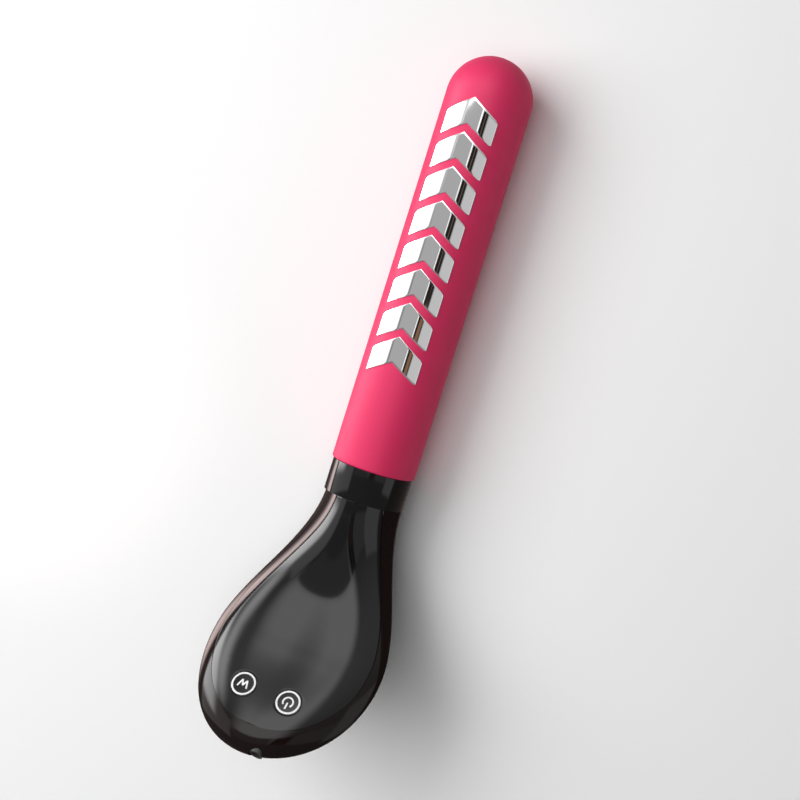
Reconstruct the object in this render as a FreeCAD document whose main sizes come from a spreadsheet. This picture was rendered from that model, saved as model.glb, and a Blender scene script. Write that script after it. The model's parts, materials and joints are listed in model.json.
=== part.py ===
import FreeCAD, Part
import math
import os
import Sketcher

# Skin scrubber: a silicone-covered wand that ends in an upswept, spoon-shaped head.
# Wand frame: local x runs from the wand's tip towards the head, local z is up through the
# ridged side, and the wand's axis is the local x axis.
# Millimetres and degrees.

SIZES = {
    "overall_length": 215.0,
    "sleeve_diameter": 26.4,
    "sleeve_length": 129.8,
    "sleeve_wall": 1.65,
    "sleeve_gap": 0.12,
    "plate_first_apex": 14.8,
    "plate_pitch": 10.51,
    "plate_count": 8,
    "plate_half_width": 8.3,
    "plate_sweep": 5.3,
    "plate_apex_band": 8.1,
    "plate_end_band": 7.6,
    "plate_depth": 0.8,
    "plate_proud": 0.3,
    "plate_corner": 0.9,
    "plate_seat_gap": 0.04,
    "peg_radius": 1.0,
    "peg_offset": 4.4,
    "peg_setback": 6.9,
    "peg_height": 3.2,
    "tube_wall": 1.5,
    "collar_step": 0.6,
    "collar_length": 10.1,
    "collar_wall": 1.8,
    "spigot_gap": 0.08,
    "spigot_length": 15.6,
    "spigot_wall": 2.6,
    "seal_reach": 13.0,
    "seal_radius": 0.7,
    "head_width": 55.0,
    "head_belly_arc": 52.2,
    "head_rise": 51.0,
    "head_rise_power": 0.8,
    "head_upper_depth": 9.5,
    "head_lower_depth": 7.8,
    "shell_wall": 1.8,
    "dish_depth": 2.4,
    "seam_waist": 4.1,
    "seam_neck_rise": 2.6,
    "seam_end_rise": 1.54,
    "seam_gap": 0.04,
    "key_arc": 70.0,
    "key_spacing": 14.8,
    "key_diameter": 8.0,
    "key_gap": 0.1,
    "key_travel": 0.3,
    "flange_radius": 4.9,
    "flange_thickness": 0.7,
    "ring_radius": 3.65,
    "ring_line": 0.75,
    "inlay_depth": 0.25,
    "board_depth": 5.4,
    "board_length": 27.0,
    "board_width": 21.0,
    "board_thickness": 1.2,
    "board_front": 3.6,
    "switch_side": 4.4,
    "switch_height": 1.3,
    "plunger_radius": 0.9,
    "post_radius": 2.0,
    "screw_radius": 0.7,
    "screw_head_radius": 1.4,
    "screw_head_height": 0.9,
    "screw_length": 4.6,
    "socket_offset": 5.0,
    "socket_depth": 5.0,
    "socket_radius": 2.1,
    "socket_bore": 1.25,
    "socket_bore_length": 6.5,
    "socket_length": 8.4,
    "motor_station": 26.0,
    "motor_length": 20.0,
    "motor_radius": 6.0,
    "can_wall": 0.7,
    "shaft_radius": 1.0,
    "shaft_start": 15.6,
    "running_gap": 0.03,
    "fixed_gap": 0.05,
    "bush_radius": 1.8,
    "armature_radius": 4.0,
    "magnet_inner": 4.25,
    "weight_station": 16.6,
    "weight_length": 7.0,
    "weight_radius": 6.4,
    "damper_wall": 1.4,
    "cell_station": 58.0,
    "cell_length": 48.0,
    "cell_radius": 7.0,
    "cell_gap": 0.15,
    "rib_thickness": 2.0,
    "lead_radius": 0.55,
    "lead_lane": 8.7,
    "lane_radius": 0.95,
}


class Size:
    """A number together with the sheet formula that drives it."""

    def __init__(self, value, text):
        self.value = value
        self.text = text

    @staticmethod
    def of(other):
        return other if isinstance(other, Size) else Size(float(other), repr(float(other)))

    def _join(self, other, sign, value):
        return Size(value, "(%s %s %s)" % (self.text, sign, Size.of(other).text))

    def __add__(self, other):
        return self._join(other, "+", self.value + Size.of(other).value)

    def __sub__(self, other):
        return self._join(other, "-", self.value - Size.of(other).value)

    def __mul__(self, other):
        return self._join(other, "*", self.value * Size.of(other).value)

    def __truediv__(self, other):
        return self._join(other, "/", self.value / Size.of(other).value)

    def __neg__(self):
        return Size(-self.value, "(0 - %s)" % self.text)


class Sizes:
    """Every driving size, by name."""

    def __init__(self, table):
        for name, value in table.items():
            setattr(self, name, Size(value, "Sizes." + name))


doc = FreeCAD.newDocument("SkinScrubber")
sheet = doc.addObject("Spreadsheet::Sheet", "Sizes")
for row, (name, value) in enumerate(SIZES.items(), start=1):
    sheet.set("A%d" % row, name)
    sheet.set("B%d" % row, str(value))
    sheet.setAlias("B%d" % row, name)
doc.recompute()
D = Sizes({name: float(getattr(sheet, name)) for name in SIZES})
COLLAR_RADIUS = D.sleeve_diameter / 2 - D.collar_step
COLLAR_BORE = COLLAR_RADIUS - D.collar_wall
SEAL_STATION = D.sleeve_length + D.seal_reach
V = FreeCAD.Vector
NODES = []


# ---------------------------------------------------------------- placing and binding

def bind(thing, prop, size):
    """Drive one property of an object from the sheet."""
    thing.setExpression(prop, Size.of(size).text)


def finish_node(thing, label):
    """Name a sub-part and stand it in the object's frame: tip at +X, lowest point at z = 0."""
    thing.Label = label
    thing.Placement = FreeCAD.Placement(V(D.overall_length.value / 2, 0, D.sleeve_diameter.value / 2),
                                        FreeCAD.Rotation(V(0, 0, 1), 180))
    bind(thing, "Placement.Base.x", D.overall_length / 2)
    bind(thing, "Placement.Base.z", D.sleeve_diameter / 2)
    NODES.append(thing)
    return thing


def origin_plane(body, role):
    return [f for f in body.Origin.OriginFeatures if f.Role == role][0]


def draw(sketch, points, arcs=None):
    """Closed outline through sized points; arcs maps a segment's number to its centre and radius."""
    arcs = arcs or {}
    count = len(points)
    ends = []
    for i, (a, b) in enumerate(points):
        c, d = points[(i + 1) % count]
        start = V(a.value, b.value, 0)
        stop = V(c.value, d.value, 0)
        if i in arcs:
            centre, radius = arcs[i]
            mid = V(centre[0].value, centre[1].value, 0)
            a0 = math.atan2(start.y - mid.y, start.x - mid.x)
            a1 = math.atan2(stop.y - mid.y, stop.x - mid.x)
            forward = (a1 - a0) % (2 * math.pi) < math.pi
            circle = Part.Circle(mid, V(0, 0, 1), radius.value)
            span = (a0, a1) if forward else (a1, a0)
            geo = sketch.addGeometry(Part.ArcOfCircle(circle, *span), False)
            ends.append((geo, 1, 2) if forward else (geo, 2, 1))
        else:
            geo = sketch.addGeometry(Part.LineSegment(start, stop), False)
            ends.append((geo, 1, 2))
    for i in range(count):
        geo, _, last = ends[i]
        nxt, first, _ = ends[(i + 1) % count]
        sketch.addConstraint(Sketcher.Constraint("Coincident", geo, last, nxt, first))
    for i, (a, b) in enumerate(points):
        geo, first, _ = ends[i]
        for kind, size in (("DistanceX", a), ("DistanceY", b)):
            index = sketch.addConstraint(Sketcher.Constraint(kind, -1, 1, geo, first, size.value))
            sketch.setExpression("Constraints[%d]" % index, size.text)
        if i in arcs:
            index = sketch.addConstraint(Sketcher.Constraint("Radius", geo, arcs[i][1].value))
            sketch.setExpression("Constraints[%d]" % index, arcs[i][1].text)


def new_sketch(body, name, role):
    sketch = body.newObject("Sketcher::SketchObject", name)
    sketch.AttachmentSupport = [(origin_plane(body, role), "")]
    sketch.MapMode = "FlatFace"
    return sketch


def turned(name, points, arcs=None, angle=360.0, more=()):
    """Body turned about the wand's axis from (station, radius) outlines."""
    body = doc.addObject("PartDesign::Body", name)
    for k, outline in enumerate([points] + list(more)):
        sketch = new_sketch(body, "%s_profile%d" % (name, k), "XZ_Plane")
        draw(sketch, [(Size.of(a), Size.of(b)) for a, b in outline], arcs if k == 0 else None)
        turn = body.newObject("PartDesign::Revolution", "%s_turn%d" % (name, k))
        turn.Profile = sketch
        turn.ReferenceAxis = (sketch, ["H_Axis"])
        turn.Angle = angle
        turn.Midplane = angle < 360
    return body


def ring(start, stop, inner, outer):
    """Rectangular outline between two stations and two radii."""
    return [(Size.of(start), Size.of(inner)), (Size.of(stop), Size.of(inner)),
            (Size.of(stop), Size.of(outer)), (Size.of(start), Size.of(outer))]


def rod(name, start, length, radius, y=0.0, z=0.0):
    """Cylinder along the wand's axis."""
    item = doc.addObject("Part::Cylinder", name)
    item.Placement = FreeCAD.Placement(V(0, 0, 0), FreeCAD.Rotation(V(0, 1, 0), 90))
    bind(item, "Radius", radius)
    bind(item, "Height", length)
    bind(item, "Placement.Base.x", start)
    bind(item, "Placement.Base.y", y)
    bind(item, "Placement.Base.z", z)
    return item


def brick(name, corner, extent):
    """Box with a sized corner and sized sides."""
    item = doc.addObject("Part::Box", name)
    for prop, size in zip(("Length", "Width", "Height"), extent):
        bind(item, prop, size)
    for axis, size in zip("xyz", corner):
        bind(item, "Placement.Base." + axis, size)
    return item


def joined(name, items):
    item = doc.addObject("Part::MultiFuse", name)
    item.Shapes = items
    return item


def less(name, base, tool):
    item = doc.addObject("Part::Cut", name)
    item.Base = base
    item.Tool = tool
    return item


def shared(name, items):
    item = doc.addObject("Part::MultiCommon", name)
    item.Shapes = items
    return item


def fixed(name, shape):
    """Freeform solid held by the document as it was computed from the sheet."""
    item = doc.addObject("Part::Feature", name)
    item.Shape = shape
    return item


# ---------------------------------------------------------------- chrome ridge plates and the sleeve

def plate_outline(apex, grow):
    """Chevron seen from above: apex towards the tip, legs swept towards the head."""
    half = D.plate_half_width + grow
    front = apex - grow
    swept = apex + D.plate_sweep
    back = swept + D.plate_end_band + grow
    inner = apex + D.plate_apex_band + grow
    return [(front, Size.of(0)), (swept - grow, -half), (back, -half),
            (inner, Size.of(0)), (back, half), (swept - grow, half)]


def plate_prism(name, apex, grow):
    body = doc.addObject("PartDesign::Body", name)
    sketch = new_sketch(body, name + "_outline", "XY_Plane")
    draw(sketch, plate_outline(apex, grow))
    pad = body.newObject("PartDesign::Pad", name + "_pad")
    pad.Profile = sketch
    bind(pad, "Length", D.sleeve_diameter)
    doc.recompute()
    names = []
    for k, edge in enumerate(pad.Shape.Edges, 1):
        ends = [v.Point for v in edge.Vertexes]
        upright = len(ends) == 2 and abs(ends[0].z - ends[1].z) > 1
        if upright and abs(ends[0].y) > 1:
            names.append("Edge%d" % k)
    round_off = body.newObject("PartDesign::Fillet", name + "_corners")
    round_off.Base = (pad, names)
    bind(round_off, "Radius", D.plate_corner)
    return body


def pegs(name, apex, radius, low, high):
    """Pair of upright pegs under one plate."""
    items = []
    for side in (-1, 1):
        peg = doc.addObject("Part::Cylinder", "%s_%s" % (name, "left" if side < 0 else "right"))
        bind(peg, "Radius", radius)
        bind(peg, "Height", high - low)
        bind(peg, "Placement.Base.x", apex + D.peg_setback)
        bind(peg, "Placement.Base.y", D.peg_offset * side)
        bind(peg, "Placement.Base.z", low)
        items.append(peg)
    return items


def build_plates():
    sleeve_r = D.sleeve_diameter / 2
    outer = sleeve_r + D.plate_proud
    inner = outer - D.plate_depth
    cutters = []
    peg_holes = []
    for k in range(int(D.plate_count.value)):
        apex = D.plate_first_apex + D.plate_pitch * k
        tag = "plate%d" % (k + 1)
        start = apex - 2
        band = rod(tag + "_skin", start, D.plate_sweep + D.plate_apex_band + 6, outer)
        core = rod(tag + "_core", start - 1, D.plate_sweep + D.plate_apex_band + 8, inner)
        chevron = shared(tag + "_chevron", [plate_prism(tag + "_prism", apex, Size.of(0)), band])
        cap = less(tag + "_cap", chevron, core)
        stubs = pegs(tag + "_peg", apex, D.peg_radius, inner - D.peg_height, inner + 0.1)
        legs = joined(tag + "_pegs", stubs)
        trim = rod(tag + "_trim", start - 1, D.plate_sweep + D.plate_apex_band + 8, inner + 0.2)
        feet = shared(tag + "_feet", [legs, trim])
        finish_node(joined(tag + "_whole", [cap, feet]), "chevron_plate_%d" % (k + 1))
        seat = less(tag + "_seat", plate_prism(tag + "_pocket", apex, D.plate_seat_gap),
                    rod(tag + "_floor", start - 1, D.plate_sweep + D.plate_apex_band + 8,
                        inner - D.plate_seat_gap))
        cutters.append(seat)
        peg_holes += pegs(tag + "_hole", apex, D.peg_radius + D.plate_seat_gap, D.sleeve_gap + 5,
                          sleeve_r)
    return cutters, peg_holes


def domed(name, radius, length):
    """Round-ended rod whose dome has the rod's own radius and shares the wand tip's centre."""
    centre = D.sleeve_diameter / 2
    shaft = rod(name + "_shaft", centre, length - centre, radius)
    ball = doc.addObject("Part::Sphere", name + "_ball")
    bind(ball, "Radius", radius)
    bind(ball, "Placement.Base.x", centre)
    return joined(name, [shaft, ball])


def build_sleeve(cutters, peg_holes):
    sleeve_r = D.sleeve_diameter / 2
    skin = domed("sleeve_outer", sleeve_r, D.sleeve_length)
    hollow = domed("sleeve_inner", sleeve_r - D.sleeve_wall, D.sleeve_length + 5)
    shell = less("sleeve_shell", skin, hollow)
    tools = joined("sleeve_cuts", cutters + peg_holes)
    finish_node(less("sleeve_whole", shell, tools), "silicone_sleeve")
    return tools


# ---------------------------------------------------------------- wand tube, collar and seal

def build_tube(peg_holes):
    centre = D.sleeve_diameter / 2
    outer = centre - D.sleeve_wall - D.sleeve_gap
    inner = outer - D.tube_wall
    shoulder = D.sleeve_length - 0.3
    spigot = COLLAR_BORE - D.spigot_gap
    bore = spigot - D.spigot_wall
    stop = D.sleeve_length + D.spigot_length
    groove_floor = spigot - D.seal_radius * 2 - 0.05
    half_groove = D.seal_radius + 0.15
    outline = [
        (centre - outer, Size.of(0)), (centre, outer), (shoulder, outer), (shoulder, spigot),
        (SEAL_STATION - half_groove, spigot), (SEAL_STATION - half_groove, groove_floor),
        (SEAL_STATION + half_groove, groove_floor), (SEAL_STATION + half_groove, spigot),
        (stop, spigot), (stop, bore), (shoulder - D.tube_wall, bore),
        (shoulder - D.tube_wall, inner), (centre, inner), (centre - inner, Size.of(0)),
    ]
    arcs = {0: ((centre, Size.of(0)), outer), 12: ((centre, Size.of(0)), inner)}
    damper = D.motor_radius + D.damper_wall + D.cell_gap
    cell = D.cell_radius + D.cell_gap
    motor_end = D.motor_station + D.motor_length
    cell_end = D.cell_station + D.cell_length
    stations = [(D.motor_station + 3, damper), (motor_end - 5, damper), (D.cell_station + 3, cell),
                (D.cell_station + D.cell_length / 2, cell), (cell_end - 5, cell)]
    bulkheads = [(motor_end + 0.7, D.motor_radius - 1.6), (D.cell_station - 2.9, D.cell_radius - 2.4),
                 (cell_end + 1.3, D.cell_radius - 2.4)]
    lanes = [rod("lane_%d" % k, D.motor_station + 2, D.sleeve_length - D.motor_station,
                 D.lane_radius, D.lead_lane * side) for k, side in enumerate((-1, 1))]
    halves = {}
    for name, sign in (("upper", 1), ("lower", -1)):
        flip = [(a, Size.of(b) * sign) for a, b in outline]
        turns = {k: (c, r) for k, (c, r) in arcs.items()}
        rings = []
        for at, radius in stations + bulkheads:
            rings.append([(a, b * sign) for a, b in
                          ring(at, at + D.rib_thickness, radius, inner + 0.3)])
        body = turned("tube_%s" % name, flip, turns, 180.0, rings)
        halves[name] = body
    holes = joined("tube_upper_cuts", peg_holes + lanes)
    finish_node(less("tube_upper_whole", halves["upper"], holes), "wand_tube_upper")
    finish_node(less("tube_lower_whole", halves["lower"], joined("tube_lower_cuts", lanes)),
                "wand_tube_lower")


def build_collar():
    start = D.sleeve_length + 0.05
    stop = D.sleeve_length + D.collar_length - 0.05
    bevel = Size.of(0.25)
    outline = [(start, COLLAR_BORE), (stop, COLLAR_BORE), (stop, COLLAR_RADIUS - bevel),
               (stop - bevel, COLLAR_RADIUS), (start + bevel, COLLAR_RADIUS),
               (start, COLLAR_RADIUS - bevel)]
    finish_node(turned("collar", outline), "neck_collar")
    seal = doc.addObject("Part::Torus", "seal")
    seal.Placement = FreeCAD.Placement(V(0, 0, 0), FreeCAD.Rotation(V(0, 1, 0), 90))
    bind(seal, "Radius1", COLLAR_BORE - D.seal_radius - 0.04)
    bind(seal, "Radius2", D.seal_radius)
    bind(seal, "Placement.Base.x", SEAL_STATION)
    ring_group = doc.addObject("Part::Compound", "seal_ring")
    ring_group.Links = [seal]
    finish_node(ring_group, "neck_seal")


# ---------------------------------------------------------------- spoon-shaped head

def ease(t):
    t = min(max(t, 0.0), 1.0)
    return t * t * (3 - 2 * t)


def head_start():
    return D.sleeve_length.value + D.collar_length.value


def centre_line(arc, total):
    """Point and slope of the head's rising centre line at an arc length from the collar."""
    steps = 160
    rise = math.radians(D.head_rise.value)
    power = D.head_rise_power.value
    x, z = head_start(), 0.0
    for k in range(steps):
        slope = rise * (max(arc, 1e-9) * (k + 0.5) / steps / total) ** power
        x += math.cos(slope) * arc / steps
        z += math.sin(slope) * arc / steps
    return x, z, rise * (max(arc, 1e-9) / total) ** power


def head_section(arc, inset, total):
    """Half width, upper and lower depth, dish depth and corner power of the head at a station."""
    belly = D.head_belly_arc.value
    neck = COLLAR_RADIUS.value
    grow = ease(arc / belly)
    half = neck + (D.head_width.value / 2 - neck) * grow - inset
    upper = neck + (D.head_upper_depth.value - neck) * grow - inset
    lower = neck + (D.head_lower_depth.value - neck) * grow - inset
    past = max(0.0, (arc - belly) / (total - belly - inset))
    close = math.sqrt(max(0.0, 1 - past * past))
    dish = D.dish_depth.value * ease((arc - 6) / 34) * (1 - ease((arc - 56) / (total - 56)))
    return half * close, upper * close, lower * close, dish, 2 / (2 + 0.5 * grow)


def head_reach(total):
    """Furthest station that a head of this arc length reaches, under its nose."""
    best = 0.0
    for k in range(21):
        arc = total * (0.9 + 0.005 * k)
        x, _, slope = centre_line(arc, total)
        best = max(best, x + math.sin(slope) * head_section(arc, 0.0, total)[2])
    return best


def head_arc():
    """Arc length that makes the whole object as long as it should be."""
    low, high = 1.2 * D.head_belly_arc.value, 400.0
    for _ in range(30):
        mid = (low + high) / 2
        if head_reach(mid) < D.overall_length.value:
            low = mid
        else:
            high = mid
    return (low + high) / 2


ARC = head_arc()


def top_height(arc, y, inset=0.0):
    """Height of the dished face over the centre line."""
    half, upper, _, dish, power = head_section(arc, inset, ARC)
    side = min(1.0, abs(y) / half)
    crown = upper * (1 - side ** (2 / power)) ** power
    return crown - dish * max(0.0, 1 - (side / 0.8) ** 2) ** 2


def on_head(arc, y, height):
    x, z, slope = centre_line(arc, ARC)
    return V(x - math.sin(slope) * height, y, z + math.cos(slope) * height)


def head_ring(arc, inset):
    """Closed smooth section wire."""
    half, _, lower, _, power = head_section(arc, inset, ARC)
    points = []
    count = 36
    for k in range(count):
        angle = 2 * math.pi * k / count
        c, s = math.cos(angle), math.sin(angle)
        if s > 1e-9:
            y = half * math.copysign(abs(c) ** power, c)
            height = top_height(arc, y, inset)
        else:
            y = half * c
            height = lower * s
        points.append(on_head(arc, y, height))
    curve = Part.BSplineCurve()
    curve.interpolate(Points=points, PeriodicFlag=True)
    return Part.Wire([curve.toShape()])


def head_form(inset, start):
    """Solid spoon form from a start station to the rounded nose."""
    belly = D.head_belly_arc.value
    wires = [head_ring(start + (belly - start) * k / 9, inset) for k in range(9)]
    reach = ARC - belly - inset
    wires += [head_ring(belly + reach * math.sin(math.pi / 2 * k / 9), inset) for k in range(9)]
    x, z, _ = centre_line(ARC - inset, ARC)
    wires.append(Part.Vertex(V(x, 0, z)))
    return Part.makeLoft(wires, True, False)


def seam_height(arc):
    waist = 0.48 * ARC
    if arc < waist:
        return D.seam_waist.value + D.seam_neck_rise.value * ((waist - arc) / waist) ** 2
    return D.seam_waist.value + D.seam_end_rise.value * ((arc - waist) / (0.4 * ARC)) ** 2


def above_seam(offset):
    """Everything on the face's side of the parting surface."""
    wide = D.head_width.value
    line = [on_head(ARC * k / 14, -wide, seam_height(ARC * k / 14) + offset) for k in range(15)]
    line[0].x = head_start() - 5
    slope = math.radians(D.head_rise.value)
    line.append(line[-1] + V(math.cos(slope), 0, math.sin(slope)) * 25)
    curve = Part.BSplineCurve()
    curve.interpolate(line)
    top = 4 * wide
    corners = [line[-1], V(line[-1].x, -wide, top), V(line[0].x, -wide, top), line[0]]
    edges = [curve.toShape()] + [Part.makeLine(corners[k], corners[k + 1]) for k in range(3)]
    return Part.Face(Part.Wire(edges)).extrude(V(0, 2 * wide, 0))


def face_point():
    """Middle of the key row on the face, and the face's slope there."""
    at = D.key_arc.value
    a = on_head(at - 2, 0, top_height(at - 2, 0))
    b = on_head(at + 2, 0, top_height(at + 2, 0))
    return on_head(at, 0, top_height(at, 0)), math.atan2(b.z - a.z, b.x - a.x)


KEY_POINT, KEY_SLOPE = face_point()
KEY_FRAME = FreeCAD.Placement(KEY_POINT, FreeCAD.Rotation(V(0, 1, 0), -math.degrees(KEY_SLOPE)))


def in_key_frame(shape):
    """Move a shape drawn on the key plane (x towards the nose, z out of the face) into place."""
    return shape.transformed(KEY_FRAME.toMatrix(), True)


def pin(radius, low, high, x=0.0, y=0.0):
    """Cylinder normal to the key plane between two heights."""
    return in_key_frame(Part.makeCylinder(radius, high - low, V(x, y, low)))


def key_places():
    half = D.key_spacing.value / 2
    return (("power", half), ("mode", -half))


def post_places():
    back = D.board_front.value - D.board_length.value + 3.0
    side = D.board_width.value / 2 - 3.0
    return ((back, -side), (back, side), (D.board_front.value - 2.4, 0.0))


def socket_axis_end(outer):
    """Station on the socket's axis where it leaves the head."""
    depth = D.socket_depth.value
    probe = in_key_frame(Part.makeCylinder(0.05, 40, V(0, D.socket_offset.value, -depth), V(1, 0, 0)))
    inside = probe.common(outer)
    back = KEY_FRAME.inverse()
    return max(back.multVec(v.Point).x for v in inside.Vertexes)


def build_head():
    outer = head_form(0.0, 0.0)
    inner = head_form(D.shell_wall.value, 4.0)
    socket_end = socket_axis_end(outer) - 0.35
    bore = Part.makeCylinder(COLLAR_BORE.value, 8.0, V(head_start() - 1, 0, 0), V(1, 0, 0))
    shell = outer.cut(inner.fuse(bore))
    gap = D.seam_gap.value
    cover = shell.common(above_seam(gap / 2))
    holes = [pin(D.key_diameter.value / 2 + D.key_gap.value, -6, 6, 0, y) for _, y in key_places()]
    node = fixed("cover_shell", cover.cut(holes))
    finish_node(node, "face_cover")

    floor = D.board_depth.value + D.board_thickness.value
    posts = [pin(D.post_radius.value, -30, -floor - 0.02, x, y) for x, y in post_places()]
    posts = [p.common(outer) for p in posts]
    back = shell.cut(above_seam(-gap / 2)).fuse(posts).cut(holes)
    drill = [pin(D.screw_radius.value, -floor - 4.2, -floor + 1, x, y) for x, y in post_places()]
    port = Part.makeCylinder(D.socket_radius.value + 0.05, 30,
                             V(socket_end - D.socket_length.value, D.socket_offset.value,
                               -D.socket_depth.value), V(1, 0, 0))
    finish_node(fixed("housing_shell", back.cut(drill + [in_key_frame(port)])), "back_housing")
    return outer, socket_end


def build_keys(outer):
    """Key caps flush with the dished face, each with a white inlaid ring and symbol."""
    depth = V(math.sin(KEY_SLOPE), 0, -math.cos(KEY_SLOPE)) * D.inlay_depth.value
    for name, y in key_places():
        local = pin(D.key_diameter.value / 2 + 1.5, -9, 6, 0, y).common(outer)
        sunk = local.translated(depth)
        radius = D.key_diameter.value / 2
        lid = -D.shell_wall.value - 0.75
        cap = pin(radius, lid, 4, 0, y).common(local)
        flange = pin(D.flange_radius.value, lid - D.flange_thickness.value, lid, 0, y)
        stem_top = lid - D.flange_thickness.value
        whole = cap.fuse(flange)
        ring_out = D.ring_radius.value
        band = pin(ring_out, -2, 2, 0, y).cut(pin(ring_out - D.ring_line.value, -2.5, 2.5, 0, y))
        mark = power_mark(y) if name == "power" else wave_mark(y)
        pieces = [s.common(local).cut(sunk) for s in [band] + mark]
        inlay = Part.Compound([s for p in pieces for s in p.Solids])
        finish_node(fixed(name + "_cap", whole.cut(inlay)), name + "_button")
        finish_node(fixed(name + "_inlay", inlay), name + "_icon")
        base = -D.board_depth.value
        side = D.switch_side.value
        rise = D.switch_height.value
        box = Part.makeBox(side, side, rise, V(-side / 2, y - side / 2, base + 0.01))
        well = Part.makeCylinder(D.plunger_radius.value + 0.05, 2, V(0, y, base + 0.6))
        finish_node(fixed(name + "_switch_body", in_key_frame(box.cut(well))), name + "_switch")
        low = base + 0.6 + D.key_travel.value + 0.05
        finish_node(fixed(name + "_plunger_pin", pin(D.plunger_radius.value, low, stem_top, 0, y)),
                    name + "_plunger")


def power_mark(y):
    """Open circle with a bar through its gap."""
    ring_part = Part.makeCylinder(1.65, 6, V(0, y, -3)).cut(Part.makeCylinder(1.15, 6, V(0, y, -3)))
    gap = Part.makeBox(2.4, 1.3, 6, V(0, y - 0.65, -3))
    bar = Part.makeBox(2.3, 0.5, 6, V(0.15, y - 0.25, -3))
    return [in_key_frame(ring_part.cut(gap)), in_key_frame(bar)]


def wave_mark(y):
    """Plain zigzag stroke: four slanted strokes joined at their ends."""
    stroke = 0.5
    xs = (1.2, -1.2, 0.6, -1.2, 1.2)
    ys = [y + (k - 2) * 0.75 for k in range(5)]
    shape = None
    for k in range(4):
        a = V(xs[k], ys[k], -3)
        b = V(xs[k + 1], ys[k + 1], -3)
        along = (b - a).normalize()
        side = V(-along.y, along.x, 0) * (stroke / 2)
        a = a - along * (stroke / 3)
        b = b + along * (stroke / 3)
        wire = Part.makePolygon([a + side, b + side, b - side, a - side, a + side])
        bar = Part.Face(wire).extrude(V(0, 0, 6))
        shape = bar if shape is None else shape.fuse(bar)
    return [in_key_frame(shape.removeSplitter())]


def build_board(socket_end):
    top = -D.board_depth.value
    front = D.board_front.value
    length = D.board_length.value
    width = D.board_width.value
    thick = D.board_thickness.value
    board = Part.makeBox(length, width, thick, V(front - length, -width / 2, top - thick))
    upright = [e for e in board.Edges if abs(e.Vertexes[0].Z - e.Vertexes[-1].Z) > 0.5]
    board = board.makeFillet(2.0, upright)
    for x, y in post_places():
        board = board.cut(Part.makeCylinder(D.screw_radius.value + 0.1, 4, V(x, y, top - 2)))
    finish_node(fixed("board", in_key_frame(board)), "main_board")

    chip = Part.makeBox(5, 5, 1.0, V(front - 11.5, -2.5, top + 0.01))
    driver = Part.makeBox(3, 4, 0.9, V(front - 19, -5.5, top + 0.01))
    coil = Part.makeCylinder(1.7, 1.4, V(front - 17.5, 3.6, top + 0.01))
    parts = Part.Compound([in_key_frame(s) for s in (chip, driver, coil)])
    finish_node(fixed("components", parts), "board_components")

    screws = []
    for x, y in post_places():
        head = pin(D.screw_head_radius.value, top + 0.02, top + D.screw_head_height.value, x, y)
        slot = in_key_frame(Part.makeBox(1.8, 0.35, 0.5, V(x - 0.9, y - 0.175, top + 0.6)))
        shank = pin(D.screw_radius.value - 0.03, top - D.screw_length.value, top + 0.1, x, y)
        screws.append(head.fuse(shank).cut(slot))
    finish_node(fixed("screws", Part.Compound(screws)), "board_screws")

    y, z = D.socket_offset.value, -D.socket_depth.value
    start = socket_end - D.socket_length.value
    out = V(1, 0, 0)
    barrel = Part.makeCylinder(D.socket_radius.value, D.socket_length.value, V(start, y, z), out)
    bore_start = socket_end - D.socket_bore_length.value
    barrel = barrel.cut(Part.makeCylinder(D.socket_bore.value, 20, V(bore_start, y, z), out))
    # the contact lies flush with the floor of the bore, so a plug has the whole bore to itself
    contact = Part.makeCylinder(0.4, 1.2, V(bore_start - 1.2, y, z), out)
    finish_node(fixed("barrel", in_key_frame(barrel.cut(contact))), "charging_socket")
    finish_node(fixed("contact", in_key_frame(contact.common(
        Part.makeCylinder(0.38, 4, V(bore_start - 1.18, y, z), out)))), "charging_contact")
    tabs = []
    for side in (-1, 1):
        tab = Part.makeBox(start - front + 1.1, 0.8, 0.3,
                           V(front - 1.15, y + side * 1.3 - 0.4, top + 0.02))
        tabs.append(in_key_frame(tab))
    finish_node(fixed("tabs", Part.Compound(tabs)), "socket_tabs")


# ---------------------------------------------------------------- vibration motor

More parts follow.
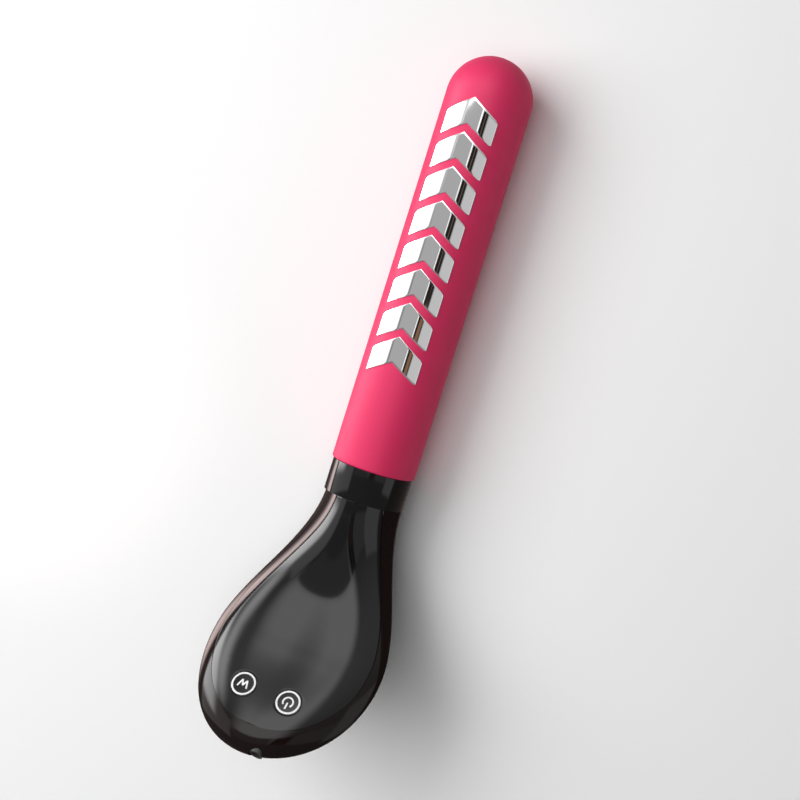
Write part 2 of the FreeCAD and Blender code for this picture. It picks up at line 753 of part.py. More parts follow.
def build_motor():
    start = D.motor_station
    stop = start + D.motor_length
    bore = D.motor_radius - D.can_wall
    shaft = D.shaft_radius
    bush = D.bush_radius
    hub = bush + D.fixed_gap
    can = [(start, hub), (start + D.can_wall, hub), (start + D.can_wall, bore), (stop, bore),
           (stop, D.motor_radius), (start, D.motor_radius)]
    finish_node(turned("can", can), "motor_can")
    cap = [(stop - 2, hub), (stop + 0.4, hub), (stop + 0.4, bore - D.fixed_gap),
           (stop - 2, bore - D.fixed_gap)]
    finish_node(turned("cap", cap), "motor_end_cap")
    run = shaft + D.running_gap
    finish_node(turned("bush_front", ring(start - 0.8, start + 1.6, run, bush)), "motor_bush_front")
    finish_node(turned("bush_rear", ring(stop - 2.4, stop + 0.2, run, bush)), "motor_bush_rear")
    finish_node(turned("shaft", ring(D.shaft_start, stop, 0.0, shaft)), "motor_shaft")

    seat = shaft + D.fixed_gap
    core = turned("core", ring(start + 3, stop - 5.5, seat, D.armature_radius))
    finish_node(less("core_slotted", core, fixed("slots", spokes(0.0))), "armature_core")
    finish_node(fixed("coils", spokes(0.06)), "armature_windings")
    finish_node(turned("commutator", ring(stop - 4.6, stop - 2.9, seat, 1.9)), "motor_commutator")

    brushes = [brick("brush_%d" % k, (stop - 4.2, Size.of(-0.6), Size.of(z)),
                     (2.15, 1.2, 0.25)) for k, z in enumerate((1.93, -2.18))]
    finish_node(joined("brushes", brushes), "motor_brushes")
    band = turned("magnet_band", ring(start + 2.6, stop - 5, D.magnet_inner, bore - D.fixed_gap))
    gate = brick("magnet_gate", (start + 2, Size.of(-2.2), -D.motor_radius),
                 (D.motor_length, Size.of(4.4), D.motor_radius * 2))
    finish_node(less("magnets", band, gate), "motor_magnets")

    station = D.weight_station
    end = station + D.weight_length
    hub_ring = turned("weight_hub", ring(station, end, seat, 2.3))
    lobe = turned("weight_lobe", [(station, Size.of(-2.0)), (end, Size.of(-2.0)),
                                  (end, -D.weight_radius), (station, -D.weight_radius)], None, 170.0)
    finish_node(joined("weight", [hub_ring, lobe]), "eccentric_weight")
    grip = ring(start + 1, stop - 1, D.motor_radius + D.fixed_gap, D.motor_radius + D.damper_wall)
    finish_node(turned("damper", grip), "motor_damper")


def spokes(clear):
    """Three winding pockets set round the shaft, or, with a clearance, the coils that fill them."""
    start = (D.motor_station + 2).value + clear * 12
    length = (D.motor_length - 6.5).value - clear * 24
    low = D.shaft_radius.value + 0.7 + clear
    high = D.armature_radius.value - 0.2 - clear
    half = 0.9 - clear
    block = Part.makeBox(length, 2 * half, high - low, V(start, -half, low))
    turns = [FreeCAD.Rotation(V(1, 0, 0), 120 * k) for k in range(3)]
    return Part.Compound([block.transformed(FreeCAD.Placement(V(0, 0, 0), t).toMatrix(), True)
                          for t in turns])


# ---------------------------------------------------------------- cell and leads

def build_cell():
    start = D.cell_station
    stop = start + D.cell_length
    r = D.cell_radius
    bevel = Size.of(0.5)
    outline = [(start, Size.of(0)), (start, r - bevel), (start + bevel, r), (stop - bevel, r),
               (stop, r - bevel), (stop, Size.of(2.7)), (stop + 0.8, Size.of(2.5)),
               (stop + 0.8, Size.of(0))]
    finish_node(turned("cell", outline), "battery_cell")
    front = brick("tab_front", (start - 0.25, Size.of(-5.5), Size.of(-2)), (0.22, 11, 4))
    back = brick("tab_back", (stop + 0.83, Size.of(-5.5), Size.of(-2)), (0.22, 11, 4))
    finish_node(joined("tabs_group", [front, back]), "battery_tabs")
    pads = joined("pads", [
        turned("pad_front", ring(start - 0.85, start - 0.3, 1.0, r - 0.6)),
        turned("pad_back", ring(stop + 0.1, stop + 0.75, 3.2, r - 0.6)),
    ])
    finish_node(pads, "battery_pads")


def bent_path(points):
    """Straight runs joined by tangent arcs, each arc as large as its runs allow."""
    edges = []
    last = points[0]
    for before, corner, after in zip(points, points[1:], points[2:]):
        a = (before - corner).normalize()
        b = (after - corner).normalize()
        turn = math.pi - a.getAngle(b)
        reach = 0.45 * min((before - corner).Length, (after - corner).Length)
        radius = reach / math.tan(turn / 2)
        first = corner + a * reach
        stop = corner + b * reach
        bisector = (a + b).normalize()
        centre = corner + bisector * math.hypot(radius, reach)
        middle = centre - bisector * radius
        edges.append(Part.LineSegment(last, first).toShape())
        edges.append(Part.Arc(first, middle, stop).toShape())
        last = stop
    edges.append(Part.LineSegment(last, points[-1]).toShape())
    return Part.Wire(edges)


def lead(name, points):
    """Insulated wire along a bent path."""
    path = bent_path(points)
    along = (points[1] - points[0]).normalize()
    section = Part.Wire([Part.Circle(points[0], along, D.lead_radius.value).toShape()])
    tube = Part.BRepOffsetAPI.MakePipeShell(path)
    tube.setFrenetMode(True)
    tube.add(section)
    tube.build()
    tube.makeSolid()
    finish_node(fixed(name + "_sweep", tube.shape()), name)


def board_edge(y, inward, lift=0.0):
    """Point over the board's neck-side edge, in the wand frame."""
    top = -D.board_depth.value
    edge = D.board_front.value - D.board_length.value
    return KEY_FRAME.multVec(V(edge + inward, y, top + D.lead_radius.value + 0.08 + lift))


def build_leads():
    lane = D.lead_lane.value
    gate = D.sleeve_length.value - 3
    r = D.lead_radius.value
    motor_end = (D.motor_station + D.motor_length).value
    cell_start = D.cell_station.value
    cell_end = (D.cell_station + D.cell_length).value
    throat = head_start() + 6
    for name, side in (("motor_lead_red", 1), ("motor_lead_black", -1)):
        lead(name, [V(motor_end + 0.6, side * 3.2, 0), V(motor_end + 3.6, side * 3.4, 0),
                    V(cell_start - 4, side * lane, 0), V(cell_end + 7, side * (lane - 0.02), 0),
                    V(gate, side * 6.0, 0), V(throat, side * 5.0, 0.5),
                    V(throat + 12, side * 4.4, 5.0), board_edge(side * 4.0, -2, 0.25),
                    board_edge(side * 3.9, 1.6)])
    for name, side in (("battery_lead_red", 1), ("battery_lead_black", -1)):
        lead(name, [V(cell_end + 1.15 + r, side * 2.0, 0), V(gate, side * 2.2, 0),
                    V(throat, side * 1.9, 0.5), V(throat + 12, side * 1.6, 5.0),
                    board_edge(side * 1.3, -2, 0.25), board_edge(side * 1.2, 1.6)])


# ---------------------------------------------------------------- whole object

def main():
    cutters, peg_holes = build_plates()
    build_sleeve(cutters, peg_holes)
    build_tube(peg_holes)
    build_collar()
    outer, socket_end = build_head()
    build_keys(outer)
    build_board(socket_end)
    build_motor()
    build_cell()
    build_leads()
    doc.recompute()

    os.makedirs("parts", exist_ok=True)
    for thing in doc.Objects:
        bad = [s for s in thing.State if s in ("Invalid", "Error")]
        if bad:
            raise RuntimeError("%s is %s" % (thing.Name, bad))
    for node in NODES:
        if node.Shape.isNull() or not node.Shape.isValid():
            raise RuntimeError("%s has no sound shape" % node.Label)
        node.Shape.exportStep(os.path.join("parts", node.Label + ".step"))


main()
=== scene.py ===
"""Looks of a skin scrubber: silicone wand with chrome chevrons and a dished, upswept head."""

from __future__ import annotations

import json
import logging
import math
from dataclasses import dataclass, field
from enum import Enum
from typing import Callable

import bmesh
import bpy
import numpy as np
from mathutils import Matrix

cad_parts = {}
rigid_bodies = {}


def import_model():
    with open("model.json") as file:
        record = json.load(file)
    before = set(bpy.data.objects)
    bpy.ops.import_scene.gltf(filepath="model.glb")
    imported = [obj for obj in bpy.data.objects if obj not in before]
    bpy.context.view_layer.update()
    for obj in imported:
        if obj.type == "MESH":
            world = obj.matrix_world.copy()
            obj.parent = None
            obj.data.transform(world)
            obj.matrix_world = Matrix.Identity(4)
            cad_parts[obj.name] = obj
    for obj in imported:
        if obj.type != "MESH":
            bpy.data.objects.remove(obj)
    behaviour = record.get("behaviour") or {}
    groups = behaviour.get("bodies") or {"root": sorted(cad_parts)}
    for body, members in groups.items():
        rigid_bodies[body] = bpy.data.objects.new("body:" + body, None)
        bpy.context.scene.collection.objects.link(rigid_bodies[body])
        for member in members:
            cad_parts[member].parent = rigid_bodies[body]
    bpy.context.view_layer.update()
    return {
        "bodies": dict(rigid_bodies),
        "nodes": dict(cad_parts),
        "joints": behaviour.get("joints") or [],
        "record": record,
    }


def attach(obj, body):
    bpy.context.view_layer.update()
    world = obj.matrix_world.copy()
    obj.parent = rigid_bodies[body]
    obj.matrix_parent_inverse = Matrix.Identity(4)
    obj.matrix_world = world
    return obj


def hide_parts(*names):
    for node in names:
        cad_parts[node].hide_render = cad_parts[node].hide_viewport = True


LOG = logging.getLogger("skin_scrubber")
MM = 0.001
Array = np.ndarray
Surface = Callable[[Array, Array], Array]


# ---------------------------------------------------------------- finishes

class Base(Enum):
    """Families of surface, which decide the shader's fixed sockets."""

    SILICONE = "silicone"
    CHROME = "chrome"
    GLOSS = "gloss"
    SATIN = "satin"
    METAL = "metal"


@dataclass(frozen=True)
class Finish:
    """One finish: its colour, how it shines and how much it varies over the surface."""

    name: str
    base: Base
    color: tuple[float, float, float]
    roughness: float
    second: tuple[float, float, float] | None = None
    coat: float = 0.0
    grain: float = 0.0
    grain_scale: float = 2200.0
    drift_scale: float = 60.0
    rough_spread: float = 0.04
    specular: float = 0.5


class Finishes:
    """Every finish on the scrubber, made once and shared."""

    PINK = Finish("pink_silicone", Base.SILICONE, (0.84, 0.026, 0.135), 0.5,
                  (0.80, 0.022, 0.12), grain=0.06, grain_scale=1800.0, specular=0.27)
    CHROME = Finish("chevron_chrome", Base.CHROME, (0.86, 0.85, 0.86), 0.045,
                    (0.80, 0.79, 0.80), rough_spread=0.03, grain=0.004)
    PIANO = Finish("piano_black", Base.GLOSS, (0.0040, 0.0036, 0.0040), 0.10,
                   (0.0060, 0.0054, 0.0060), specular=0.36, rough_spread=0.03)
    MAROON = Finish("maroon_black", Base.GLOSS, (0.0100, 0.0046, 0.0044), 0.10,
                    (0.0076, 0.0038, 0.0036), specular=0.22, rough_spread=0.03)
    WHITE = Finish("white_inlay", Base.SATIN, (0.90, 0.90, 0.90), 0.35,
                   (0.84, 0.84, 0.85), grain=0.02)
    ABS = Finish("natural_abs", Base.SATIN, (0.72, 0.71, 0.68), 0.5,
                 (0.66, 0.65, 0.62), grain=0.08)
    DARK_PLASTIC = Finish("dark_moulding", Base.SATIN, (0.03, 0.03, 0.032), 0.42,
                          (0.04, 0.04, 0.043), grain=0.08)
    RUBBER = Finish("black_rubber", Base.SATIN, (0.022, 0.022, 0.023), 0.62,
                    (0.034, 0.033, 0.033), grain=0.12, specular=0.35)
    MASK = Finish("green_mask", Base.GLOSS, (0.012, 0.16, 0.06), 0.28,
                  (0.010, 0.12, 0.05), coat=0.3)
    STEEL = Finish("bright_steel", Base.METAL, (0.58, 0.58, 0.60), 0.28,
                   (0.50, 0.50, 0.52), grain=0.05)
    DARK_METAL = Finish("laminated_iron", Base.METAL, (0.16, 0.16, 0.17), 0.42,
                        (0.11, 0.11, 0.12), grain=0.1)
    COPPER = Finish("enamelled_copper", Base.METAL, (0.66, 0.27, 0.12), 0.3,
                    (0.54, 0.20, 0.09), grain=0.1, grain_scale=3200.0)
    BRASS = Finish("sintered_bronze", Base.METAL, (0.74, 0.53, 0.24), 0.34,
                   (0.62, 0.43, 0.19), grain=0.08)
    WRAP = Finish("cell_wrap", Base.GLOSS, (0.03, 0.14, 0.42), 0.3,
                  (0.02, 0.11, 0.36), coat=0.2)
    RED = Finish("red_insulation", Base.SATIN, (0.52, 0.02, 0.02), 0.4, (0.44, 0.015, 0.015))
    BLACK = Finish("black_insulation", Base.SATIN, (0.015, 0.015, 0.016), 0.4,
                   (0.024, 0.024, 0.025))


def new_group(name: str, inputs: dict[str, tuple[str, object]],
              outputs: dict[str, str]) -> bpy.types.ShaderNodeTree:
    """Empty shader node group with named sockets.

    Args:
        name: the group's name.
        inputs: socket name to (kind, starting value).
        outputs: socket name to kind.

    Returns:
        The group, with its input and output nodes placed.
    """
    tree = bpy.data.node_groups.new(name, "ShaderNodeTree")
    for label, (kind, value) in inputs.items():
        socket = tree.interface.new_socket(label, in_out="INPUT", socket_type="NodeSocket" + kind)
        socket.default_value = value
    for label, kind in outputs.items():
        tree.interface.new_socket(label, in_out="OUTPUT", socket_type="NodeSocket" + kind)
    tree.nodes.new("NodeGroupInput").name = "in"
    tree.nodes.new("NodeGroupOutput").name = "out"
    return tree


def noise(tree: bpy.types.NodeTree, vector: bpy.types.NodeSocket, scale: float | bpy.types.NodeSocket,
          detail: float = 3.0) -> bpy.types.NodeSocket:
    """Noise texture's factor, read from a vector at a scale.

    Args:
        tree: where the node goes.
        vector: coordinates that it reads.
        scale: number or socket.
        detail: octaves.

    Returns:
        The factor socket.
    """
    node = tree.nodes.new("ShaderNodeTexNoise")
    node.inputs["Detail"].default_value = detail
    tree.links.new(vector, node.inputs["Vector"])
    if isinstance(scale, bpy.types.NodeSocket):
        tree.links.new(scale, node.inputs["Scale"])
    else:
        node.inputs["Scale"].default_value = scale
    return node.outputs["Fac"]


class SharedEffects:
    """Node groups that several materials use: colour drift with a fine roughness smear, and surface
    grain.
    """

    def __init__(self) -> None:
        """Builds both groups."""
        self.drift = self._drift()
        self.grain = self._grain()

    @staticmethod
    def _drift() -> bpy.types.ShaderNodeTree:
        """Colour that drifts between two tones, and a roughness that drifts with it."""
        tree = new_group("tone_drift", {
            "Vector": ("Vector", (0.0, 0.0, 0.0)), "First": ("Color", (0.5, 0.5, 0.5, 1.0)),
            "Second": ("Color", (0.4, 0.4, 0.4, 1.0)), "Scale": ("Float", 60.0),
            "Roughness": ("Float", 0.4), "Spread": ("Float", 0.05),
        }, {"Color": "Color", "Roughness": "Float"})
        src, out = tree.nodes["in"], tree.nodes["out"]
        cloud = noise(tree, src.outputs["Vector"], src.outputs["Scale"], 4.0)
        mix = tree.nodes.new("ShaderNodeMix")
        mix.data_type = "RGBA"
        tree.links.new(cloud, mix.inputs["Factor"])
        tree.links.new(src.outputs["First"], mix.inputs["A"])
        tree.links.new(src.outputs["Second"], mix.inputs["B"])
        tree.links.new(mix.outputs["Result"], out.inputs["Color"])
        smear = noise(tree, src.outputs["Vector"], 240.0, 2.0)
        centred = tree.nodes.new("ShaderNodeMath")
        centred.operation = "SUBTRACT"
        centred.inputs[1].default_value = 0.5
        tree.links.new(smear, centred.inputs[0])
        scaled = tree.nodes.new("ShaderNodeMath")
        scaled.operation = "MULTIPLY_ADD"
        tree.links.new(centred.outputs[0], scaled.inputs[0])
        tree.links.new(src.outputs["Spread"], scaled.inputs[1])
        tree.links.new(src.outputs["Roughness"], scaled.inputs[2])
        tree.links.new(scaled.outputs[0], out.inputs["Roughness"])
        return tree

    @staticmethod
    def _grain() -> bpy.types.ShaderNodeTree:
        """Height of a fine moulded grain over a faint broad unevenness."""
        tree = new_group("surface_grain", {
            "Vector": ("Vector", (0.0, 0.0, 0.0)), "Scale": ("Float", 2000.0),
        }, {"Height": "Float"})
        src, out = tree.nodes["in"], tree.nodes["out"]
        fine = noise(tree, src.outputs["Vector"], src.outputs["Scale"], 2.0)
        broad = noise(tree, src.outputs["Vector"], 90.0, 1.0)
        add = tree.nodes.new("ShaderNodeMath")
        add.operation = "MULTIPLY_ADD"
        add.inputs[1].default_value = 0.3
        tree.links.new(broad, add.inputs[0])
        tree.links.new(fine, add.inputs[2])
        tree.links.new(add.outputs[0], out.inputs["Height"])
        return tree


class Palette:
    """Makes each finish's material once and hands it out."""

    def __init__(self, effects: SharedEffects) -> None:
        """Keeps the shared groups and an empty store."""
        self.effects = effects
        self.made: dict[str, bpy.types.Material] = {}

    def of(self, finish: Finish) -> bpy.types.Material:
        """Material of a finish, built on first use.

        Args:
            finish: the finish.

        Returns:
            Its material.
        """
        if finish.name not in self.made:
            self.made[finish.name] = self._build(finish)
        return self.made[finish.name]

    def _build(self, finish: Finish) -> bpy.types.Material:
        """Principled shader with drifting colour and roughness and a grain bump.

        Args:
            finish: what to build.

        Returns:
            The new material.
        """
        material = bpy.data.materials.new(finish.name)
        material.use_nodes = True
        tree = material.node_tree
        shader = tree.nodes["Principled BSDF"]
        coords = tree.nodes.new("ShaderNodeTexCoord").outputs["Object"]
        drift = tree.nodes.new("ShaderNodeGroup")
        drift.node_tree = self.effects.drift
        second = finish.second or finish.color
        drift.inputs["First"].default_value = (*finish.color, 1.0)
        drift.inputs["Second"].default_value = (*second, 1.0)
        drift.inputs["Scale"].default_value = finish.drift_scale
        drift.inputs["Roughness"].default_value = finish.roughness
        drift.inputs["Spread"].default_value = finish.rough_spread
        tree.links.new(coords, drift.inputs["Vector"])
        tree.links.new(drift.outputs["Color"], shader.inputs["Base Color"])
        tree.links.new(drift.outputs["Roughness"], shader.inputs["Roughness"])
        metal = finish.base in (Base.CHROME, Base.METAL)
        shader.inputs["Metallic"].default_value = 1.0 if metal else 0.0
        shader.inputs["Specular IOR Level"].default_value = finish.specular
        shader.inputs["Coat Weight"].default_value = finish.coat
        shader.inputs["Coat Roughness"].default_value = 0.05
        if finish.base is Base.SILICONE:
            shader.inputs["Sheen Weight"].default_value = 0.08
            shader.inputs["Sheen Roughness"].default_value = 0.4
            shader.inputs["Sheen Tint"].default_value = (1.0, 0.75, 0.85, 1.0)
        if finish.grain > 0:
            grain = tree.nodes.new("ShaderNodeGroup")
            grain.node_tree = self.effects.grain
            grain.inputs["Scale"].default_value = finish.grain_scale
            bump = tree.nodes.new("ShaderNodeBump")
            bump.inputs["Strength"].default_value = finish.grain
            bump.inputs["Distance"].default_value = 0.0002
            tree.links.new(coords, grain.inputs["Vector"])
            tree.links.new(grain.outputs["Height"], bump.inputs["Height"])
            tree.links.new(bump.outputs["Normal"], shader.inputs["Normal"])
        return material


# ---------------------------------------------------------------- meshes from arrays

def unit(vectors: Array) -> Array:
    """Vectors scaled to length one along their last axis."""
    return vectors / np.maximum(np.linalg.norm(vectors, axis=-1, keepdims=True), 1e-12)


@dataclass
class Shell:
    """Collects grids of points and turns them into one closed mesh."""

    points: list[Array] = field(default_factory=list)
    quads: list[Array] = field(default_factory=list)
    count: int = 0

    def grid(self, points: Array, wrap: bool = False, keep: Array | None = None) -> Array:
        """Adds a grid of quads.

        Args:
            points: (rows, columns, 3) array in millimetres.
            wrap: whether the last column joins the first.
            keep: optional (rows-1, columns-1) mask of the cells to keep.

        Returns:
            The grid's vertex numbers.
        """
        rows, cols = points.shape[:2]
        ids = np.arange(rows * cols).reshape(rows, cols) + self.count
        right = np.roll(ids, -1, axis=1) if wrap else ids[:, 1:]
        left = ids if wrap else ids[:, :-1]
        cells = np.stack([left[:-1], right[:-1], right[1:], left[1:]], axis=-1)
        if keep is not None:
            cells = cells[keep]
        self.points.append(points.reshape(-1, 3))
        self.quads.append(cells.reshape(-1, 4))
        self.count += rows * cols
        return ids

    def piece(self, name: str, material: bpy.types.Material, sharp: float = 50.0,
              outward: bool = True) -> bpy.types.Object:
        """Makes the object: doubles merged, normals outward, smooth between sharp edges.

        Args:
            name: the object's name.
            material: its finish.
            sharp: edges that turn more than this many degrees stay sharp.
            outward: whether normals are recalculated over the closed shell.

        Returns:
            The new object, at the origin.
        """
        mesh = bpy.data.meshes.new(name)
        mesh.from_pydata(to_frame(np.concatenate(self.points)).tolist(), [],
                         np.concatenate(self.quads).tolist())
        work = bmesh.new()
        work.from_mesh(mesh)
        bmesh.ops.remove_doubles(work, verts=work.verts, dist=2e-6)
        bmesh.ops.dissolve_degenerate(work, edges=work.edges, dist=1e-7)
        if outward:
            bmesh.ops.recalc_face_normals(work, faces=work.faces)
        work.to_mesh(mesh)
        work.free()
        mesh.shade_smooth()
        mesh.set_sharp_from_angle(angle=math.radians(sharp))
        mesh.materials.append(material)
        item = bpy.data.objects.new(name, mesh)
        bpy.context.scene.collection.objects.link(item)
        return item


TIP = 107.5
AXIS = 13.2


def to_frame(points: Array) -> Array:
    """Wand coordinates (from the tip, left, up; mm) turned into the object's frame in metres."""
    out = np.empty_like(points, dtype=float)
    out[..., 0] = TIP - points[..., 0]
    out[..., 1] = -points[..., 1]
    out[..., 2] = AXIS + points[..., 2]
    return out * MM


def arc_profile(centre: tuple[float, float], radius: float, start: float, stop: float,
                steps: int) -> Array:
    """Points on a circle: centre plus radius times (cosine, sine) of evenly spaced angles.

    Args:
        centre: station and radius of the arc's centre.
        radius: the arc's radius.
        start: first angle in degrees.
        stop: last angle in degrees.
        steps: number of points.

    Returns:
        (steps, 2) array.
    """
    a = np.radians(np.linspace(start, stop, steps))
    return np.stack([centre[0] + radius * np.cos(a), centre[1] + radius * np.sin(a)], axis=-1)


def turned(profile: Array, sides: int) -> Array:
    """Surface of revolution about the wand's axis: each (station, radius) swept round a circle.

    Args:
        profile: (n, 2) stations and radii.
        sides: columns round the axis.

    Returns:
        (n, sides, 3) grid that wraps.
    """
    a = np.linspace(0, 2 * np.pi, sides, endpoint=False)
    x = np.repeat(profile[:, :1], sides, axis=1)
    y = profile[:, 1:] * np.cos(a)[None]
    z = profile[:, 1:] * np.sin(a)[None]
    return np.stack([x, y, z], axis=-1)


# ---------------------------------------------------------------- spoon head as functions

def ease(t: Array) -> Array:
    """Smooth step: three t squared minus two t cubed, held between 0 and 1."""
    t = np.clip(t, 0.0, 1.0)
    return t * t * (3 - 2 * t)


@dataclass
class HeadForm:
    """The head's outer form as functions of the arc length along its rising centre line."""

    start: float = 139.9
    belly: float = 52.2
    neck: float = 12.6
    half_width: float = 27.5
    upper_depth: float = 9.5
    lower_depth: float = 7.8
    dish: float = 2.4
    rise: float = 51.0
    power: float = 0.80
    seam_waist: float = 3.3
    seam_neck: float = 2.6
    seam_end: float = 1.54
    length: float = 215.0

    def __post_init__(self) -> None:
        """Finds the arc length that makes the object as long as it is, and tabulates the line."""
        low, high = 70.0, 95.0
        for _ in range(30):
            self.total = (low + high) / 2
            self._tabulate()
            arcs = np.linspace(0.9, 1.0, 21) * self.total
            x, _, slope = self.line(arcs)
            reach = np.max(x + np.sin(slope) * self.section(arcs)[2])
            low, high = (self.total, high) if reach < self.length else (low, self.total)

    def _tabulate(self) -> None:
        """Adds up cosine and sine of the slope, which grows as a power of the arc length."""
        self._arc = np.linspace(0, self.total, 4001)
        slope = np.radians(self.rise) * (self._arc / self.total) ** self.power
        step = np.diff(self._arc)
        mid = (slope[1:] + slope[:-1]) / 2
        self._x = self.start + np.concatenate([[0], np.cumsum(np.cos(mid) * step)])
        self._z = np.concatenate([[0], np.cumsum(np.sin(mid) * step)])

    def line(self, arc: Array) -> tuple[Array, Array, Array]:
        """Centre line's station, height and slope at an arc length."""
        slope = np.radians(self.rise) * (np.clip(arc, 0, None) / self.total) ** self.power
        return np.interp(arc, self._arc, self._x), np.interp(arc, self._arc, self._z), slope

    def section(self, arc: Array) -> tuple[Array, Array, Array, Array, Array]:
        """Half width, upper depth, lower depth, dish depth and corner power of a section."""
        grow = ease(arc / self.belly)
        past = np.clip((arc - self.belly) / (self.total - self.belly), 0.0, 1.0)
        close = np.sqrt(np.clip(1 - past * past, 0.0, 1.0))
        half = (self.neck + (self.half_width - self.neck) * grow) * close
        upper = (self.neck + (self.upper_depth - self.neck) * grow) * close
        lower = (self.neck + (self.lower_depth - self.neck) * grow) * close
        dish = self.dish * ease((arc - 6) / 34) * (1 - ease((arc - 56) / (self.total - 56)))
        return half, upper, lower, dish, 2 / (2 + 0.5 * grow)

    def place(self, arc: Array, y: Array, height: Array) -> Array:
        """Point at a side offset and a height square to the centre line."""
        x, z, slope = self.line(arc)
        return np.stack([x - np.sin(slope) * height, y + 0 * x, z + np.cos(slope) * height], -1)

    def crown(self, arc: Array, y: Array) -> Array:
        """Height of the dished face: a rounded crown less a hollow that fades to the rim."""
        half, upper, _, dish, power = self.section(arc)
        side = np.clip(np.abs(y) / np.maximum(half, 1e-9), 0, 1)
        crown = upper * (1 - side ** (2 / power)) ** power
        return crown - dish * np.clip(1 - (side / 0.8) ** 2, 0, None) ** 2

    def face(self, arc: Array, y: Array) -> Array:
        """Point on the face above a side offset."""
        return self.place(arc, y, self.crown(arc, y))

    def skin(self, arc: Array, angle: Array) -> Array:
        """Point on the whole section: crown over half a turn, ellipse under the other half."""
        half, _, lower, _, power = self.section(arc)
        c, s = np.cos(angle), np.sin(angle)
        over = s > 0
        y = half * np.sign(c) * np.abs(c) ** np.where(over, power, 1.0)
        return self.place(arc, y, np.where(over, self.crown(arc, y), lower * s))

    def seam(self, arc: Array) -> Array:
        """Height of the parting line: lowest at the waist, squares of the distance either way."""
        waist = 0.48 * self.total
        before = self.seam_neck * (np.clip(waist - arc, 0, None) / waist) ** 2
        after = self.seam_end * (np.clip(arc - waist, 0, None) / (0.4 * self.total)) ** 2
        return self.seam_waist + before + after

    def seam_angle(self, arc: Array) -> Array:
        """Section angle at which the skin reaches the seam's height, a quarter turn if never."""
        steps = np.linspace(0, np.pi / 2, 721)
        half, _, _, _, power = self.section(arc)
        y = half[:, None] * np.cos(steps)[None] ** power[:, None]
        height = self.crown(np.repeat(arc[:, None], 721, 1), y)
        above = height >= self.seam(arc)[:, None]
        first = np.where(above.any(1), above.argmax(1), 720)
        low = np.clip(first - 1, 0, 720)
        rows = np.arange(len(arc))
        h0, h1 = height[rows, low], height[rows, first]
        blend = np.clip((self.seam(arc) - h0) / np.where(h1 - h0 > 1e-9, h1 - h0, 1.0), 0, 1)
        return np.where(above.any(1), steps[low] + blend * (steps[first] - steps[low]), np.pi / 2)

    def seam_end_arc(self) -> float:
        """Arc length at which the seam meets itself over the middle of the nose."""
        arcs = np.linspace(self.belly, self.total, 6001)
        gone = self.crown(arcs, np.zeros_like(arcs)) < self.seam(arcs)
        return float(arcs[gone.argmax()])


def slopes(surface: Surface, u: Array, v: Array, du: float = 1e-3,
           dv: float = 1e-3) -> tuple[Array, Array]:
    """Central differences of a surface along its two parameters."""
    along = (surface(u + du, v) - surface(u - du, v)) / (2 * du)
    across = (surface(u, v + dv) - surface(u, v - dv)) / (2 * dv)
    return along, across


@dataclass(frozen=True)
class Frame:
    """A point with three square directions, the third one outward."""

    origin: Array
    first: Array
    second: Array
    third: Array

    def flat(self, points: Array) -> Array:
        """Coordinates of points along the first two directions."""
        d = points - self.origin
        return np.stack([d @ self.first, d @ self.second], -1)

    def at(self, x: Array, y: Array, z: Array) -> Array:
        """Points from coordinates in this frame."""
        return (self.origin + x[..., None] * self.first + y[..., None] * self.second
                + z[..., None] * self.third)


def locate(surface: Surface, frame: Frame, targets: Array, u: Array, v: Array) -> tuple[Array, Array]:
    """Parameters at which a surface lies over given flat coordinates, by Newton's method.

    Args:
        surface: the surface.
        frame: frame whose first two directions measure the targets.
        targets: (..., 2) flat coordinates.
        u: first guess of the first parameter.
        v: first guess of the second parameter.

    Returns:
        Both parameters.
    """
    for _ in range(8):
        miss = targets - frame.flat(surface(u, v))
        along, across = slopes(surface, u, v)
        a = np.stack([along @ frame.first, along @ frame.second], -1)
        b = np.stack([across @ frame.first, across @ frame.second], -1)
        det = a[..., 0] * b[..., 1] - a[..., 1] * b[..., 0]
        det = np.where(np.abs(det) < 1e-9, 1e-9, det)
        u = u + np.clip((miss[..., 0] * b[..., 1] - miss[..., 1] * b[..., 0]) / det, -3, 3)
        v = v + np.clip((a[..., 0] * miss[..., 1] - a[..., 1] * miss[..., 0]) / det, -3, 3)
    return u, v


